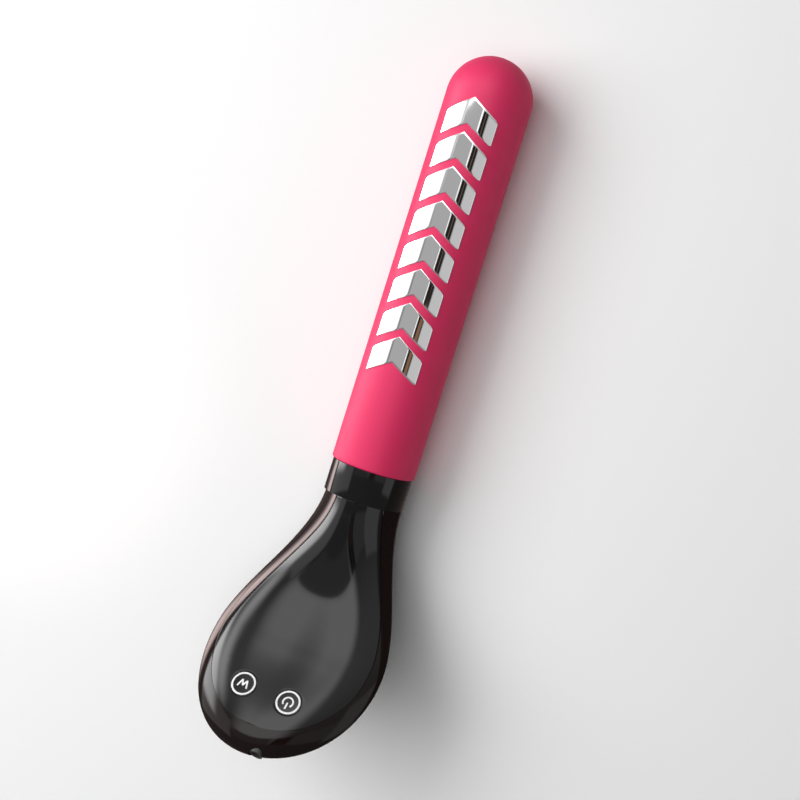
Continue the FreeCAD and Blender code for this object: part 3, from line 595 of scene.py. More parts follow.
@dataclass
class Panel:
    """A curved wall: a grid of surface parameters, drilled where holes go, given a thickness."""

    surface: Surface
    u: Array
    v: Array
    sign: float
    thickness: float

    def __post_init__(self) -> None:
        """Starts with every cell kept and no hole patches."""
        self.keep = np.ones((self.u.shape[0] - 1, self.u.shape[1] - 1), bool)
        self.patches: list[Array] = []
        self.outer = self.surface(self.u, self.v)

    def normals(self, u: Array, v: Array) -> Array:
        """Outward unit normals from the cross product of the slopes."""
        along, across = slopes(self.surface, u, v)
        return unit(np.cross(along, across)) * self.sign

    def drill(self, frame: Frame, radius: float, depth: float, ring: float = 1.6,
              lip: float = 0.08) -> None:
        """Cuts a round hole: a block of cells gives way to rings that close in on a circle.

        Args:
            frame: the hole's centre, with its axis as the third direction.
            radius: the hole's radius.
            depth: how far the hole's wall goes down.
            ring: the block reaches this many radii.
            lip: radius of the rounded lip.
        """
        flat = frame.flat(self.outer)
        near = (np.linalg.norm(flat, axis=-1) < radius * ring)
        near &= ((self.outer - frame.origin) @ frame.third) > -4.0
        rows, cols = np.nonzero(near)
        r0, r1, c0, c1 = rows.min(), rows.max(), cols.min(), cols.max()
        self.keep[r0:r1, c0:c1] = False
        loop = ([(r0, c) for c in range(c0, c1)] + [(r, c1) for r in range(r0, r1)]
                + [(r1, c) for c in range(c1, c0, -1)] + [(r, c0) for r in range(r1, r0, -1)])
        idx = np.array(loop)
        u0, v0 = self.u[idx[:, 0], idx[:, 1]], self.v[idx[:, 0], idx[:, 1]]
        edge = frame.flat(self.outer[idx[:, 0], idx[:, 1]])
        turn = np.arctan2(edge[:, 1], edge[:, 0])
        rim = (radius + lip) * np.stack([np.cos(turn), np.sin(turn)], -1)
        u1, v1 = locate(self.surface, frame, rim, u0, v0)
        parts = np.linspace(0, 1, 9)[:, None]
        uu, vv = u0 + (u1 - u0) * parts, v0 + (v1 - v0) * parts
        rings = self.surface(uu, vv)
        rings[0] = self.outer[idx[:, 0], idx[:, 1]]
        radial = np.cos(turn)[:, None] * frame.first + np.sin(turn)[:, None] * frame.second
        bend = np.radians(np.array([30.0, 60.0, 90.0]))[:, None, None]
        round_off = (rings[-1][None] - radial[None] * lip * np.sin(bend)
                     - frame.third * lip * (1 - np.cos(bend)))
        wall = rings[-1] - radial * lip - frame.third * depth
        self.patches.append(np.concatenate([rings, round_off, wall[None]]))

    def shell(self, edges: tuple[bool, bool, bool, bool] = (True, True, True, True),
              lip: float = 0.12) -> Shell:
        """Outer grid, rounded edges, edge walls and hole walls as one mesh.

        Args:
            edges: whether the first row, last row, first column and last column get a wall.
            lip: radius of the rounded edges.

        Returns:
            The collected mesh.
        """
        out = Shell()
        normal = self.normals(self.u, self.v)
        out.grid(self.outer, keep=self.keep)
        for patch in self.patches:
            out.grid(patch, wrap=True)
        inner = self.outer - normal * self.thickness
        keep_inner = self.keep
        out.grid(inner[:, ::-1], keep=keep_inner[:, ::-1])
        lines = ((self.outer[0], normal[0], self.outer[0] - self.outer[1]),
                 (self.outer[-1], normal[-1], self.outer[-1] - self.outer[-2]),
                 (self.outer[:, 0], normal[:, 0], None), (self.outer[:, -1], normal[:, -1], None))
        for wanted, (edge, up, push) in zip(edges, lines):
            if wanted:
                out.grid(self._rim(edge, up, push, lip))
        return out

    def _rim(self, edge: Array, up: Array, push: Array | None, lip: float) -> Array:
        """Quarter-round lip and wall below an edge, pushed square to the edge in the surface."""
        along = unit(np.gradient(edge, axis=0))
        side = unit(np.cross(along, up))
        if push is not None:
            side = unit(push - (push * up).sum(-1, keepdims=True) * up)
        else:
            middle = self.outer[:, self.outer.shape[1] // 2]
            facing = ((edge - middle) * side).sum(-1)
            side = side * np.sign(np.median(facing))
        bend = np.radians(np.array([0.0, 30.0, 60.0, 90.0]))[:, None, None]
        lips = edge[None] + side[None] * lip * np.sin(bend) - up[None] * lip * (1 - np.cos(bend))
        foot = edge - up * self.thickness
        wall = (lips[-1] - up * (self.thickness - lip))[None]
        return np.concatenate([lips, wall, foot[None]])


# ---------------------------------------------------------------- the scrubber's own pieces

@dataclass
class Wand:
    """Silicone sleeve, chrome chevrons and neck collar."""

    palette: Palette
    radius: float = 13.2
    wall: float = 1.65
    length: float = 129.8
    edge: float = 0.55
    plate_top: float = 13.5
    plate_depth: float = 0.9
    plate_bevel: float = 0.2
    first_apex: float = 14.8
    pitch: float = 10.51
    count: int = 8
    half_width: float = 8.3
    sweep: float = 5.3
    apex_band: float = 8.1
    end_band: float = 7.6
    corner: float = 0.9
    collar_radius: float = 12.6
    collar_length: float = 10.1
    collar_bore: float = 10.8

    def sleeve(self) -> bpy.types.Object:
        """Round-tipped tube: a quarter circle, a long straight, a rounded end, then back inside.

        Returns:
            The sleeve.
        """
        r, inner = self.radius, self.radius - self.wall
        dome = arc_profile((r, 0.0), r, 180, 90, 49)
        dome[:, 0] = r - (dome[:, 0] - r) * -1.0
        shaft = np.stack([np.linspace(r, self.length - self.edge, 90)[1:],
                          np.full(89, r)], -1)
        end = arc_profile((self.length - self.edge, r - self.edge), self.edge, 90, 0, 9)[1:]
        lip = np.array([[self.length, inner + 0.3], [self.length - 0.3, inner]])
        back = np.stack([np.linspace(self.length - 1.5, r, 30), np.full(30, inner)], -1)
        hollow = arc_profile((r, 0.0), inner, 90, 180, 25)[1:]
        profile = np.concatenate([dome, shaft, end, lip, back, hollow])
        profile[0, 1] = profile[-1, 1] = 0.0
        shell = Shell()
        shell.grid(turned(profile, 192), wrap=True)
        return shell.piece("sleeve_skin", self.palette.of(Finishes.PINK), outward=False)

    def _plate_grid(self, apex: float) -> tuple[Array, Array, Array]:
        """Plan coordinates of a chevron and each point's distance from its outline.

        The front edge is a V and the back edge a flatter V; both bend away on a corner circle
        near the two ends. Rows crowd towards the edges to carry the bevel.

        Args:
            apex: station of the chevron's point.

        Returns:
            Stations, side offsets and edge distances, each (rows, columns).
        """
        margins = self.plate_bevel * np.array([0.0, 0.08, 0.25, 0.5, 0.75, 1.0])
        inner = np.linspace(self.plate_bevel, self.half_width, 26)[1:]
        reach = self.half_width - np.concatenate([margins, inner])
        y = np.concatenate([-reach, reach[::-1][1:]])
        bend = np.clip(np.abs(y) - (self.half_width - self.corner), 0, self.corner)
        cut = self.corner - np.sqrt(np.clip(self.corner ** 2 - bend ** 2, 0, None))
        front = apex + self.sweep * np.abs(y) / self.half_width + cut
        back_drop = self.sweep + self.end_band - self.apex_band
        back = apex + self.apex_band + back_drop * np.abs(y) / self.half_width - cut
        body = np.linspace(0, 1, 18)[1:-1]
        span = back - front
        rows = np.concatenate([margins[:, None] + 0 * y,
                               margins[-1] + (span - 2 * margins[-1]) * body[:, None],
                               (span - margins[::-1][:, None])])
        x = front + rows
        gap = np.minimum(np.minimum(rows, span - rows) * 0.86, self.half_width - np.abs(y))
        return x, np.broadcast_to(y, x.shape), np.clip(gap, 0, None)

    def chevron(self, number: int) -> bpy.types.Object:
        """One plate: a patch of cylinder whose edges fall away on a quarter circle.

        Args:
            number: counted from the tip, starting at 1.

        Returns:
            The plate.
        """
        x, y, gap = self._plate_grid(self.first_apex + self.pitch * (number - 1))
        b = self.plate_bevel
        fall = b - np.sqrt(np.clip(b * b - np.clip(b - gap, 0, b) ** 2, 0, None))
        top = np.stack([x, y, np.sqrt((self.plate_top - fall) ** 2 - y ** 2)], -1)
        low = np.stack([x, y, np.sqrt((self.plate_top - self.plate_depth) ** 2 - y ** 2)], -1)
        shell = Shell()
        shell.grid(top)
        shell.grid(low[:, ::-1])
        for a, c in ((top[0], low[0]), (top[-1], low[-1]), (top[:, 0], low[:, 0]),
                     (top[:, -1], low[:, -1])):
            shell.grid(np.stack([a, c]))
        return shell.piece("chevron_skin_%d" % number, self.palette.of(Finishes.CHROME), 40.0)

    def collar(self) -> bpy.types.Object:
        """Ring between sleeve and head: two straight cylinders joined by rounded rims.

        Returns:
            The collar.
        """
        r, e = self.collar_radius, 0.18
        start, stop = self.length + 0.04, self.length + self.collar_length - 0.02
        near = arc_profile((start + e, r - e), e, 180, 90, 6)
        rim = 0.05
        far = arc_profile((stop - rim, r - rim), rim, 90, 0, 4)
        bore = np.array([[stop, self.collar_bore], [start, self.collar_bore]])
        profile = np.concatenate([near, far, bore, near[:1]])
        shell = Shell()
        shell.grid(turned(profile, 160), wrap=True)
        return shell.piece("collar_skin", self.palette.of(Finishes.PIANO))

    def build(self) -> None:
        """Makes every wand piece and puts it in place of its CAD node."""
        pairs = [(self.sleeve(), "silicone_sleeve"), (self.collar(), "neck_collar")]
        pairs += [(self.chevron(k), "chevron_plate_%d" % k) for k in range(1, self.count + 1)]
        for item, node in pairs:
            settle(item, "shell", node)


def settle(item: bpy.types.Object, body: str, node: str) -> None:
    """Rides a piece on a body, in place of a CAD node, and reports it.

    Args:
        item: the piece.
        body: the body's name.
        node: the CAD node that it stands for.
    """
    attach(item, body)
    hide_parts(node)
    LOG.info("%s for %s: %d faces", item.name, node, len(item.data.polygons))


class Mark(Enum):
    """Symbols inlaid in the key caps."""

    POWER = "power"
    WAVE = "mode"


@dataclass
class Head:
    """Face cover, back housing, key caps and their inlays."""

    palette: Palette
    form: HeadForm = field(default_factory=HeadForm)
    key_arc: float = 70.0
    key_spacing: float = 14.8
    key_radius: float = 4.0
    key_gap: float = 0.1
    key_depth: float = 2.5
    ring_radius: float = 3.65
    ring_line: float = 0.56
    seam_half_gap: float = 0.11
    socket_offset: float = 5.0
    socket_depth: float = 5.0
    socket_radius: float = 2.15

    def __post_init__(self) -> None:
        """Finds the key plane: a point on the face and the face's slope there."""
        arcs = np.array([self.key_arc - 2, self.key_arc, self.key_arc + 2])
        a, origin, b = self.form.face(arcs, np.zeros(3))
        slope = math.atan2(b[2] - a[2], b[0] - a[0])
        self.keys = Frame(origin, np.array([math.cos(slope), 0.0, math.sin(slope)]),
                          np.array([0.0, 1.0, 0.0]),
                          np.array([-math.sin(slope), 0.0, math.cos(slope)]))

    def key_frame(self, mark: Mark) -> Frame:
        """Frame centred on one key."""
        side = 1 if mark is Mark.POWER else -1
        shift = self.keys.second * (side * self.key_spacing / 2)
        return Frame(self.keys.origin + shift, self.keys.first, self.keys.second,
                     self.keys.third)

    def cover(self) -> bpy.types.Object:
        """Dished face: side offsets run from seam to seam at each arc length.

        Returns:
            The face cover.
        """
        stop = self.form.seam_end_arc()
        middle = 50.0
        bulk = np.linspace(0.06, middle, 110)[:-1]
        nose = middle + (stop - self.seam_half_gap - middle) * np.sin(np.linspace(0, np.pi / 2, 90))
        arc = np.concatenate([bulk, nose])
        angle = self.form.seam_angle(arc)
        half, _, _, _, power = self.form.section(arc)
        reach = half * np.cos(angle) ** power
        reach = np.clip(reach - self.seam_half_gap * np.sqrt(reach / 20.0), 0, None)
        reach[-1] = 0.0
        across = np.sin(np.linspace(-np.pi / 2, np.pi / 2, 121) * 0.8) / math.sin(0.4 * np.pi)
        u = np.repeat(arc[:, None], 121, 1)
        v = reach[:, None] * across[None]
        panel = Panel(self.form.face, u, v, 1.0, 1.1)
        for mark in Mark:
            panel.drill(self.key_frame(mark), self.key_radius + self.key_gap, 1.1)
        shell = panel.shell((True, False, True, True))
        return shell.piece("face_skin", self.palette.of(Finishes.PIANO))

    def housing(self) -> bpy.types.Object:
        """Underside and rim: sections run from the seam round below to the seam again.

        Returns:
            The back housing.
        """
        stop = self.form.seam_end_arc() + self.seam_half_gap
        middle = 50.0
        bulk = np.linspace(0.06, middle, 100)[:-1]
        nose = middle + (stop - middle) * np.sin(np.linspace(0, np.pi / 2, 70))
        arc = np.concatenate([bulk, nose])
        angle = self.form.seam_angle(arc)
        angle[-1] = np.pi / 2
        half = self.form.section(arc)[0]
        angle = np.where(np.arange(len(arc)) < len(arc) - 1,
                         angle - self.seam_half_gap / np.maximum(half, 4.0), angle)
        sweep = np.linspace(0, 1, 201)
        v = angle[:, None] - (np.pi + 2 * angle[:, None]) * sweep[None]
        u = np.repeat(arc[:, None], 201, 1)
        open_part = Panel(self.form.skin, u, v, -1.0, 1.1)
        tail = self.form.total - stop
        arc_end = stop + tail * np.sin(np.linspace(0, np.pi / 2, 60))
        u_end = np.repeat(arc_end[:, None], 201, 1)
        v_end = np.repeat((np.pi / 2 - 2 * np.pi * sweep)[None], 60, 0)
        closed_part = Panel(self.form.skin, u_end, v_end, -1.0, 1.1)
        closed_part.drill(self.socket_frame(), self.socket_radius, 1.1, 1.5)
        shell = open_part.shell((True, False, True, True))
        nose_shell = closed_part.shell((False, False, False, False))
        for points, quads in zip(nose_shell.points, nose_shell.quads):
            shell.points.append(points)
            shell.quads.append(quads + shell.count)
        shell.count += nose_shell.count
        return shell.piece("housing_skin", self.palette.of(Finishes.MAROON))

    def socket_frame(self) -> Frame:
        """Frame where the charging socket's axis, square to the key row, leaves the nose."""
        axis = self.keys.first
        start = (self.keys.origin + self.keys.second * self.socket_offset
                 - self.keys.third * self.socket_depth)
        base = Frame(start, self.keys.second, self.keys.third, axis)
        arcs = np.full(9, self.form.total - 2.0)
        angles = np.linspace(-0.9, 1.2, 9)
        u, v = locate(self.form.skin, base, np.zeros((9, 2)), arcs, angles)
        points = self.form.skin(np.clip(u, 0, self.form.total), v)
        miss = np.linalg.norm(base.flat(points), axis=-1)
        best = points[int(miss.argmin())]
        LOG.info("socket leaves the nose at %s, missing its axis by %.3f mm",
                 np.round(best, 2), miss.min())
        return Frame(best, self.keys.second, self.keys.third, axis)

    def _on_face(self, frame: Frame, flat: Array) -> Array:
        """Points of the face that lie over flat coordinates of a key frame."""
        y0 = float(frame.origin[1])
        u = np.full(flat.shape[:-1], self.key_arc) + flat[..., 0]
        v = np.full(flat.shape[:-1], y0) + flat[..., 1]
        u, v = locate(self.form.face, frame, flat, u, v)
        return self.form.face(u, v)

    def key(self, mark: Mark) -> bpy.types.Object:
        """Round cap whose top is the face's own surface, with a rounded rim and a straight wall.

        Args:
            mark: which key.

        Returns:
            The cap.
        """
        frame = self.key_frame(mark)
        lip = 0.12
        turn = np.linspace(0, 2 * np.pi, 96, endpoint=False)
        spoke = np.stack([np.cos(turn), np.sin(turn)], -1)
        radii = np.linspace(0, self.key_radius - lip, 20)
        top = self._on_face(frame, radii[:, None, None] * spoke[None])
        radial = spoke[:, :1] * frame.first + spoke[:, 1:] * frame.second
        bend = np.radians(np.array([30.0, 60.0, 90.0]))[:, None, None]
        rim = (top[-1][None] + radial[None] * lip * np.sin(bend)
               - frame.third * lip * (1 - np.cos(bend)))
        wall = rim[-1] - frame.third * self.key_depth
        foot = wall.mean(0)[None].repeat(96, 0)
        shell = Shell()
        shell.grid(np.concatenate([top, rim, wall[None], foot[None]]), wrap=True)
        return shell.piece("%s_cap" % mark.value, self.palette.of(Finishes.PIANO))

    def _ribbon(self, frame: Frame, path: Array, width: float, closed: bool) -> Array:
        """Stroke laid on the face: a path widened both ways, with round ends if it is open.

        Args:
            frame: the key's frame.
            path: (n, 2) flat coordinates of the stroke's middle.
            width: the stroke's width.
            closed: whether the stroke meets itself.

        Returns:
            (rows, n, 3) grid whose first and last rows go down into the cap.
        """
        if closed:
            along = unit(np.roll(path, -1, 0) - np.roll(path, 1, 0))
            half = np.full(len(path), width / 2)
        else:
            along = unit(np.gradient(path, axis=0))
            run = np.concatenate([[0], np.cumsum(np.linalg.norm(np.diff(path, axis=0), axis=1))])
            near = np.minimum(run, run[-1] - run)
            half = width / 2 * np.sqrt(np.clip(1 - np.clip(1 - near / (width / 2), 0, 1) ** 2,
                                               1e-4, 1))
        side = np.stack([-along[:, 1], along[:, 0]], -1)
        rows = np.linspace(-1, 1, 7)
        flat = path[None] + side[None] * (half[None] * rows[:, None])[..., None]
        lift = 0.035 * np.sqrt(np.clip(1 - rows ** 4 * 0.8, 0, 1))
        top = self._on_face(frame, flat) + frame.third * lift[:, None, None]
        low = top[[0, -1]] - frame.third * 0.2
        return np.concatenate([low[:1], top, low[1:]])

    def inlay(self, mark: Mark) -> bpy.types.Object:
        """White ring and symbol of one key.

        Args:
            mark: which symbol.

        Returns:
            The inlay.
        """
        frame = self.key_frame(mark)
        turn = np.linspace(0, 2 * np.pi, 120, endpoint=False)
        middle = self.ring_radius - self.ring_line / 2
        circle = middle * np.stack([np.cos(turn), np.sin(turn)], -1)
        shell = Shell()
        shell.grid(self._ribbon(frame, circle, self.ring_line, True), wrap=True)
        for stroke in self._strokes(mark):
            shell.grid(self._ribbon(frame, stroke, 0.52, False))
        return shell.piece("%s_symbol" % mark.value, self.palette.of(Finishes.WHITE))

    @staticmethod
    def _strokes(mark: Mark) -> list[Array]:
        """Middles of a symbol's strokes: an open circle with a bar, or one zigzag."""
        if mark is Mark.POWER:
            turn = np.radians(np.linspace(42, 318, 60))
            ring = 1.5 * np.stack([np.cos(turn), np.sin(turn)], -1)
            bar = np.stack([np.linspace(0.1, 2.3, 20), np.zeros(20)], -1)
            return [ring, bar]
        corners = np.array([[1.2, -1.5], [-1.2, -0.75], [0.6, 0.0], [-1.2, 0.75], [1.2, 1.5]])
        strokes = []
        for a, b in zip(corners, corners[1:]):
            t = np.linspace(-0.04, 1.04, 24)[:, None]
            strokes.append(a + (b - a) * t)
        return strokes

    def build(self) -> None:
        """Makes every head piece and puts it in place of its CAD node."""
        settle(self.cover(), "shell", "face_cover")
        settle(self.housing(), "shell", "back_housing")
        for mark in Mark:
            body = "%s_key" % mark.value
            settle(self.key(mark), body, "%s_button" % mark.value)
            settle(self.inlay(mark), body, "%s_icon" % mark.value)


@dataclass
class Inside:
    """Finishes for the CAD nodes that are kept as they are."""

    palette: Palette
    nodes: dict[str, bpy.types.Object]

    GROUPS = (
        (Finishes.ABS, ("wand_tube_upper", "wand_tube_lower")),
        (Finishes.DARK_PLASTIC, ("motor_end_cap", "power_plunger", "mode_plunger",
                                 "charging_socket", "board_components")),
        (Finishes.RUBBER, ("neck_seal", "motor_damper", "battery_pads")),
        (Finishes.MASK, ("main_board",)),
        (Finishes.STEEL, ("board_screws", "motor_shaft", "motor_can", "battery_tabs",
                          "socket_tabs", "eccentric_weight", "power_switch", "mode_switch")),
        (Finishes.DARK_METAL, ("armature_core", "motor_magnets")),
        (Finishes.COPPER, ("armature_windings",)),
        (Finishes.BRASS, ("motor_bush_front", "motor_bush_rear", "motor_commutator",
                          "motor_brushes", "charging_contact")),
        (Finishes.WRAP, ("battery_cell",)),
        (Finishes.RED, ("motor_lead_red", "battery_lead_red")),
        (Finishes.BLACK, ("motor_lead_black", "battery_lead_black")),
    )

    def dress(self) -> None:
        """Gives each kept node its material."""
        for finish, names in self.GROUPS:
            for name in names:
                node = self.nodes[name]
                for slot in node.material_slots:
                    slot.material = self.palette.of(finish)
                LOG.info("%s finished as %s", name, finish.name)


# ---------------------------------------------------------------- studio

@dataclass(frozen=True)
class Card:
    """A glowing card on a sphere round the object, seen in polished parts only.

    Angles are degrees: across the wand from the camera's axis, and along it towards the head.
    """

    name: str
    across: tuple[float, float]
    along: tuple[float, float]
    level: float
    edge: float = 0.06
    tint: tuple[float, float, float] = (1.0, 1.0, 1.0)
    distance: float = 0.9


CARDS = (
    Card("left_band", (-112, -50), (-15, 22), 1.35, 0.12),
    Card("left_key", (-130, -74), (-22, 10), 9.0, 0.5, distance=0.85),
    Card("left_low", (-102, -60), (-37, -11), 5.5, 0.9, distance=0.84),
    Card("ridge_grey", (-47, -7), (-9, 9.5), 0.45, 0.02),
    Card("ridge_line", (-6.5, -4.0), (-9, 9.5), 1.15, 0.2),
    Card("ridge_black", (-3.5, 10.5), (-9, 9.5), 0.015, 0.05),
    Card("ridge_brown", (3.2, 5.4), (-9, 3.5), 0.16, 0.3, (1.0, 0.62, 0.45), 0.88),
    Card("ridge_amber", (0.5, 9.0), (3.5, 9.5), 0.24, 0.25, (1.0, 0.55, 0.30), 0.88),
    Card("ridge_pale", (12, 46), (-9, 9.5), 0.60, 0.04),
    Card("right_band", (44, 72), (-17, 17), 1.1, 0.12),
    Card("dish_glow", (-56, 10), (-56, 2), 3.2, 0.6, distance=1.1),
)


@dataclass
class Studio:
    """Camera, floor, lamps, world and the cards that polished parts reflect."""

    roll: float = 17.84
    lean: float = 4.77
    distance: float = 0.450
    focal_px: float = 1471.0
    target: tuple[float, float, float] = (0.00012, -0.00167, 0.0132)
    tilt: tuple[float, float] = (-0.30116, 0.95357)
    pool_at: tuple[float, float, float] = (-0.045, 0.125, 0.0)
    pool_reach: tuple[float, float] = (0.03, 0.085)
    pool_gain: float = 40.0

    def view_axes(self) -> tuple[Array, Array, Array]:
        """Directions towards the camera, along the wand towards the head, and across it."""
        p, t = math.radians(self.roll), math.radians(self.lean)
        back = np.array([math.sin(t), -math.sin(p) * math.cos(t), math.cos(p) * math.cos(t)])
        along = np.array([-math.cos(t), -math.sin(p) * math.sin(t), math.cos(p) * math.sin(t)])
        across = np.array([0.0, -math.cos(p), -math.sin(p)])
        return back, along, across

    def camera(self) -> None:
        """Places the camera over the face, turned so that the wand leans in the frame."""
        back, along, across = self.view_axes()
        right = self.tilt[0] * along + self.tilt[1] * across
        right /= np.linalg.norm(right)
        up = np.cross(back, right)
        where = np.array(self.target) + back * self.distance
        data = bpy.data.cameras.new("camera")
        data.sensor_width = 36.0
        data.lens = self.focal_px / 800.0 * 36.0
        data.clip_start = 0.01
        camera = bpy.data.objects.new("camera", data)
        matrix = np.eye(4)
        matrix[:3, 0], matrix[:3, 1], matrix[:3, 2], matrix[:3, 3] = right, up, back, where
        camera.matrix_world = Matrix(matrix.tolist())
        bpy.context.scene.collection.objects.link(camera)
        bpy.context.scene.camera = camera

    def world(self) -> None:
        """Pale world: white to the camera and in reflections, softer as light."""
        world = bpy.data.worlds.new("studio")
        world.use_nodes = True
        tree = world.node_tree
        path = tree.nodes.new("ShaderNodeLightPath")
        seen = tree.nodes.new("ShaderNodeMath")
        seen.operation = "MAXIMUM"
        tree.links.new(path.outputs["Is Camera Ray"], seen.inputs[0])
        both = tree.nodes.new("ShaderNodeMath")
        both.operation = "MAXIMUM"
        tree.links.new(seen.outputs[0], both.inputs[0])
        tree.links.new(path.outputs["Is Glossy Ray"], seen.inputs[1])
        tree.links.new(path.outputs["Is Transmission Ray"], both.inputs[1])
        level = tree.nodes.new("ShaderNodeMapRange")
        level.inputs["To Min"].default_value = 0.78
        level.inputs["To Max"].default_value = 1.0
        tree.links.new(both.outputs[0], level.inputs["Value"])
        tree.links.new(level.outputs["Result"], tree.nodes["Background"].inputs["Strength"])
        bpy.context.scene.world = world

    def floor(self) -> None:
        """Large pale floor that the sleeve rests on."""
        material = bpy.data.materials.new("floor")
        material.use_nodes = True
        tree = material.node_tree
        shader = tree.nodes["Principled BSDF"]
        coords = tree.nodes.new("ShaderNodeTexCoord").outputs["Object"]
        cloud = noise(tree, coords, 3.0)
        ramp = tree.nodes.new("ShaderNodeMapRange")
        ramp.inputs["To Min"].default_value = 0.55
        ramp.inputs["To Max"].default_value = 0.6
        tree.links.new(cloud, ramp.inputs["Value"])
        tree.links.new(ramp.outputs["Result"], shader.inputs["Roughness"])
        shader.inputs["Base Color"].default_value = (0.93, 0.93, 0.93, 1.0)
        shader.inputs["Specular IOR Level"].default_value = 0.2
        mesh = bpy.data.meshes.new("floor")
        s = 3.0
        mesh.from_pydata([(-s, -s, -0.0002), (s, -s, -0.0002), (s, s, -0.0002), (-s, s, -0.0002)],
                         [], [(0, 1, 2, 3)])
        mesh.materials.append(material)
        floor = bpy.data.objects.new("floor", mesh)
        bpy.context.scene.collection.objects.link(floor)

    def _sphere(self, across: tuple[float, float], along: tuple[float, float], radius: float,
                steps: int) -> tuple[Array, list[tuple[int, ...]]]:
        """Patch of a sphere round the target.

        A point is cos(along) times (cos(across) towards the camera plus sin(across) sideways),
        plus sin(along) towards the head.

        Returns:
            Points and quads.
        """
        back, ahead, side = self.view_axes()
        a, b = np.meshgrid(np.radians(np.linspace(*across, steps)),
                           np.radians(np.linspace(*along, steps)), indexing="ij")
        way = (np.cos(b) * np.cos(a))[..., None] * back + (np.cos(b) * np.sin(a))[..., None] * side
        points = np.array(self.target) + radius * (way + np.sin(b)[..., None] * ahead)
        ids = np.arange(steps * steps).reshape(steps, steps)
        quads = np.stack([ids[:-1, :-1], ids[1:, :-1], ids[1:, 1:], ids[:-1, 1:]], -1)
        return points.reshape(-1, 3), quads.reshape(-1, 4).tolist()

    @staticmethod
    def _glossy_only(item: bpy.types.Object) -> None:
        """Stages an object that polished parts alone can see."""
        item.visible_camera = False
        item.visible_diffuse = False
        item.visible_shadow = False
        item.visible_transmission = False
        bpy.context.scene.collection.objects.link(item)

    def card(self, card: Card) -> None:
        """Hangs one card; its edges fade over a share of its width.

        Args:
            card: the card.
        """
        points, quads = self._sphere(card.across, card.along, card.distance, 25)
        mesh = bpy.data.meshes.new(card.name)
        mesh.from_pydata(points.tolist(), [], quads)
        layer = mesh.uv_layers.new(name="UVMap")
        loops = np.empty(len(mesh.loops), dtype=np.int32)
        mesh.loops.foreach_get("vertex_index", loops)
        layer.data.foreach_set("uv", (np.stack([loops // 25, loops % 25], -1) / 24.0).ravel())
        material = bpy.data.materials.new(card.name)
        material.use_nodes = True
        tree = material.node_tree
        tree.nodes.clear()
        coords = tree.nodes.new("ShaderNodeUVMap")
        split = tree.nodes.new("ShaderNodeSeparateXYZ")
        tree.links.new(coords.outputs["UV"], split.inputs[0])
        fades = []
        for axis in ("X", "Y"):
            fold = tree.nodes.new("ShaderNodeMath")
            fold.operation = "PINGPONG"
            fold.inputs[1].default_value = 0.5
            tree.links.new(split.outputs[axis], fold.inputs[0])
            fade = tree.nodes.new("ShaderNodeMapRange")
            fade.interpolation_type = "SMOOTHSTEP"
            fade.inputs["From Max"].default_value = max(card.edge * 0.5, 0.004)
            tree.links.new(fold.outputs[0], fade.inputs["Value"])
            fades.append(fade)
        mask = tree.nodes.new("ShaderNodeMath")
        mask.operation = "MULTIPLY"
        for index, fade in enumerate(fades):
            tree.links.new(fade.outputs["Result"], mask.inputs[index])
        glow = tree.nodes.new("ShaderNodeEmission")
        glow.inputs["Color"].default_value = (*card.tint, 1.0)
        glow.inputs["Strength"].default_value = card.level
        clear = tree.nodes.new("ShaderNodeBsdfTransparent")
        mix = tree.nodes.new("ShaderNodeMixShader")
        out = tree.nodes.new("ShaderNodeOutputMaterial")
        tree.links.new(mask.outputs[0], mix.inputs[0])
        tree.links.new(clear.outputs[0], mix.inputs[1])
        tree.links.new(glow.outputs[0], mix.inputs[2])
        tree.links.new(mix.outputs[0], out.inputs["Surface"])
        mesh.materials.append(material)
        self._glossy_only(bpy.data.objects.new(card.name, mesh))

    def room(self) -> None:
        """Dim surround behind the cards, paler past the tip, over a dark mat.

        The mat has one bright pool beside the neck, which the left edge of the head reflects.
        """
        _, ahead, _ = self.view_axes()
        points, quads = self._sphere((-180, 180), (-90, 90), 1.3, 49)
        mesh = bpy.data.meshes.new("room")
        mesh.from_pydata(points.tolist(), [], quads)
        material = bpy.data.materials.new("room")
        material.use_nodes = True
        tree = material.node_tree
        tree.nodes.clear()
        coords = tree.nodes.new("ShaderNodeTexCoord")
        dot = tree.nodes.new("ShaderNodeVectorMath")
        dot.operation = "DOT_PRODUCT"
        dot.inputs[1].default_value = tuple(ahead)
        tree.links.new(coords.outputs["Object"], dot.inputs[0])
        level = tree.nodes.new("ShaderNodeMapRange")
        level.inputs["From Min"].default_value = -1.0
        level.inputs["From Max"].default_value = -0.1
        level.inputs["To Min"].default_value = 1.0
        level.inputs["To Max"].default_value = 0.26
        tree.links.new(dot.outputs["Value"], level.inputs["Value"])
        glow = tree.nodes.new("ShaderNodeEmission")
        out = tree.nodes.new("ShaderNodeOutputMaterial")
        tree.links.new(level.outputs["Result"], glow.inputs["Strength"])
        tree.links.new(glow.outputs[0], out.inputs["Surface"])
        mesh.materials.append(material)
        self._glossy_only(bpy.data.objects.new("room", mesh))

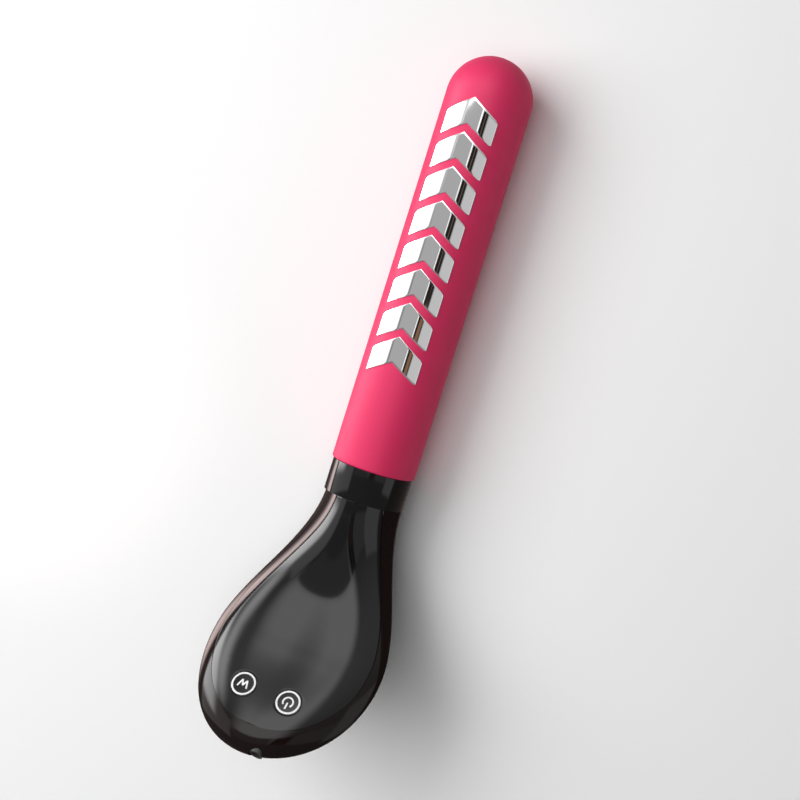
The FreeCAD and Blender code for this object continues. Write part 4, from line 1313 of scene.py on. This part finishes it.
        mat = bpy.data.meshes.new("mat")
        s = 0.9
        mat.from_pydata([(-s, -s, -0.0001), (s, -s, -0.0001), (s, s, -0.0001), (-s, s, -0.0001)],
                        [], [(0, 1, 2, 3)])
        dark = bpy.data.materials.new("mat")
        dark.use_nodes = True
        dark.node_tree.nodes.clear()
        glow = dark.node_tree.nodes.new("ShaderNodeEmission")
        glow.inputs["Color"].default_value = (0.17, 0.135, 0.13, 1.0)
        place = dark.node_tree.nodes.new("ShaderNodeTexCoord")
        away = dark.node_tree.nodes.new("ShaderNodeVectorMath")
        away.operation = "DISTANCE"
        away.inputs[1].default_value = self.pool_at
        dark.node_tree.links.new(place.outputs["Object"], away.inputs[0])
        pool = dark.node_tree.nodes.new("ShaderNodeMapRange")
        pool.interpolation_type = "SMOOTHSTEP"
        pool.inputs["From Min"].default_value = self.pool_reach[0]
        pool.inputs["From Max"].default_value = self.pool_reach[1]
        pool.inputs["To Min"].default_value = self.pool_gain
        pool.inputs["To Max"].default_value = 1.0
        dark.node_tree.links.new(away.outputs["Value"], pool.inputs["Value"])
        dark.node_tree.links.new(pool.outputs["Result"], glow.inputs["Strength"])
        out = dark.node_tree.nodes.new("ShaderNodeOutputMaterial")
        dark.node_tree.links.new(glow.outputs[0], out.inputs["Surface"])
        mat.materials.append(dark)
        self._glossy_only(bpy.data.objects.new("mat", mat))

    def lamp(self, name: str, angle: float, rise: float, size: tuple[float, float], power: float,
             distance: float = 0.8, glossy: bool = False) -> None:
        """Soft area lamp aimed at the wand.

        Args:
            name: the lamp's name.
            angle: degrees from the camera's axis, across the wand.
            rise: degrees along the wand, positive towards the head.
            size: width and height in metres.
            power: watts.
            distance: metres from the target.
            glossy: whether polished parts see it.
        """
        back, along, across = self.view_axes()
        a, b = math.radians(angle), math.radians(rise)
        way = math.cos(b) * (math.cos(a) * back + math.sin(a) * across) + math.sin(b) * along
        data = bpy.data.lights.new(name, "AREA")
        data.shape = "RECTANGLE"
        data.size, data.size_y = size
        data.energy = power
        lamp = bpy.data.objects.new(name, data)
        z = way / np.linalg.norm(way)
        x = unit(np.cross(np.array([0.0, 0.0, 1.0]) + 1e-3 * along, z))
        matrix = np.eye(4)
        matrix[:3, 0], matrix[:3, 1], matrix[:3, 2] = x, np.cross(z, x), z
        matrix[:3, 3] = np.array(self.target) + z * distance
        lamp.matrix_world = Matrix(matrix.tolist())
        lamp.visible_glossy = glossy
        bpy.context.scene.collection.objects.link(lamp)

    def build(self) -> None:
        """Sets up the whole studio."""
        scene = bpy.context.scene
        scene.view_settings.view_transform = "Standard"
        self.camera()
        self.world()
        self.floor()
        self.lamp("left_soft", -62.0, -5.0, (0.9, 0.6), 6.6)
        self.lamp("top_soft", -15.0, 5.0, (0.8, 0.8), 2.8)
        self.room()
        for card in CARDS:
            self.card(card)


def main() -> None:
    """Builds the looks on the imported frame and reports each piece."""
    logging.basicConfig(level=logging.INFO, format="%(name)s: %(message)s")
    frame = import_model()
    palette = Palette(SharedEffects())
    Wand(palette).build()
    Head(palette).build()
    Inside(palette, frame["nodes"]).dress()
    Studio().build()


if __name__ == "__main__":
    main()
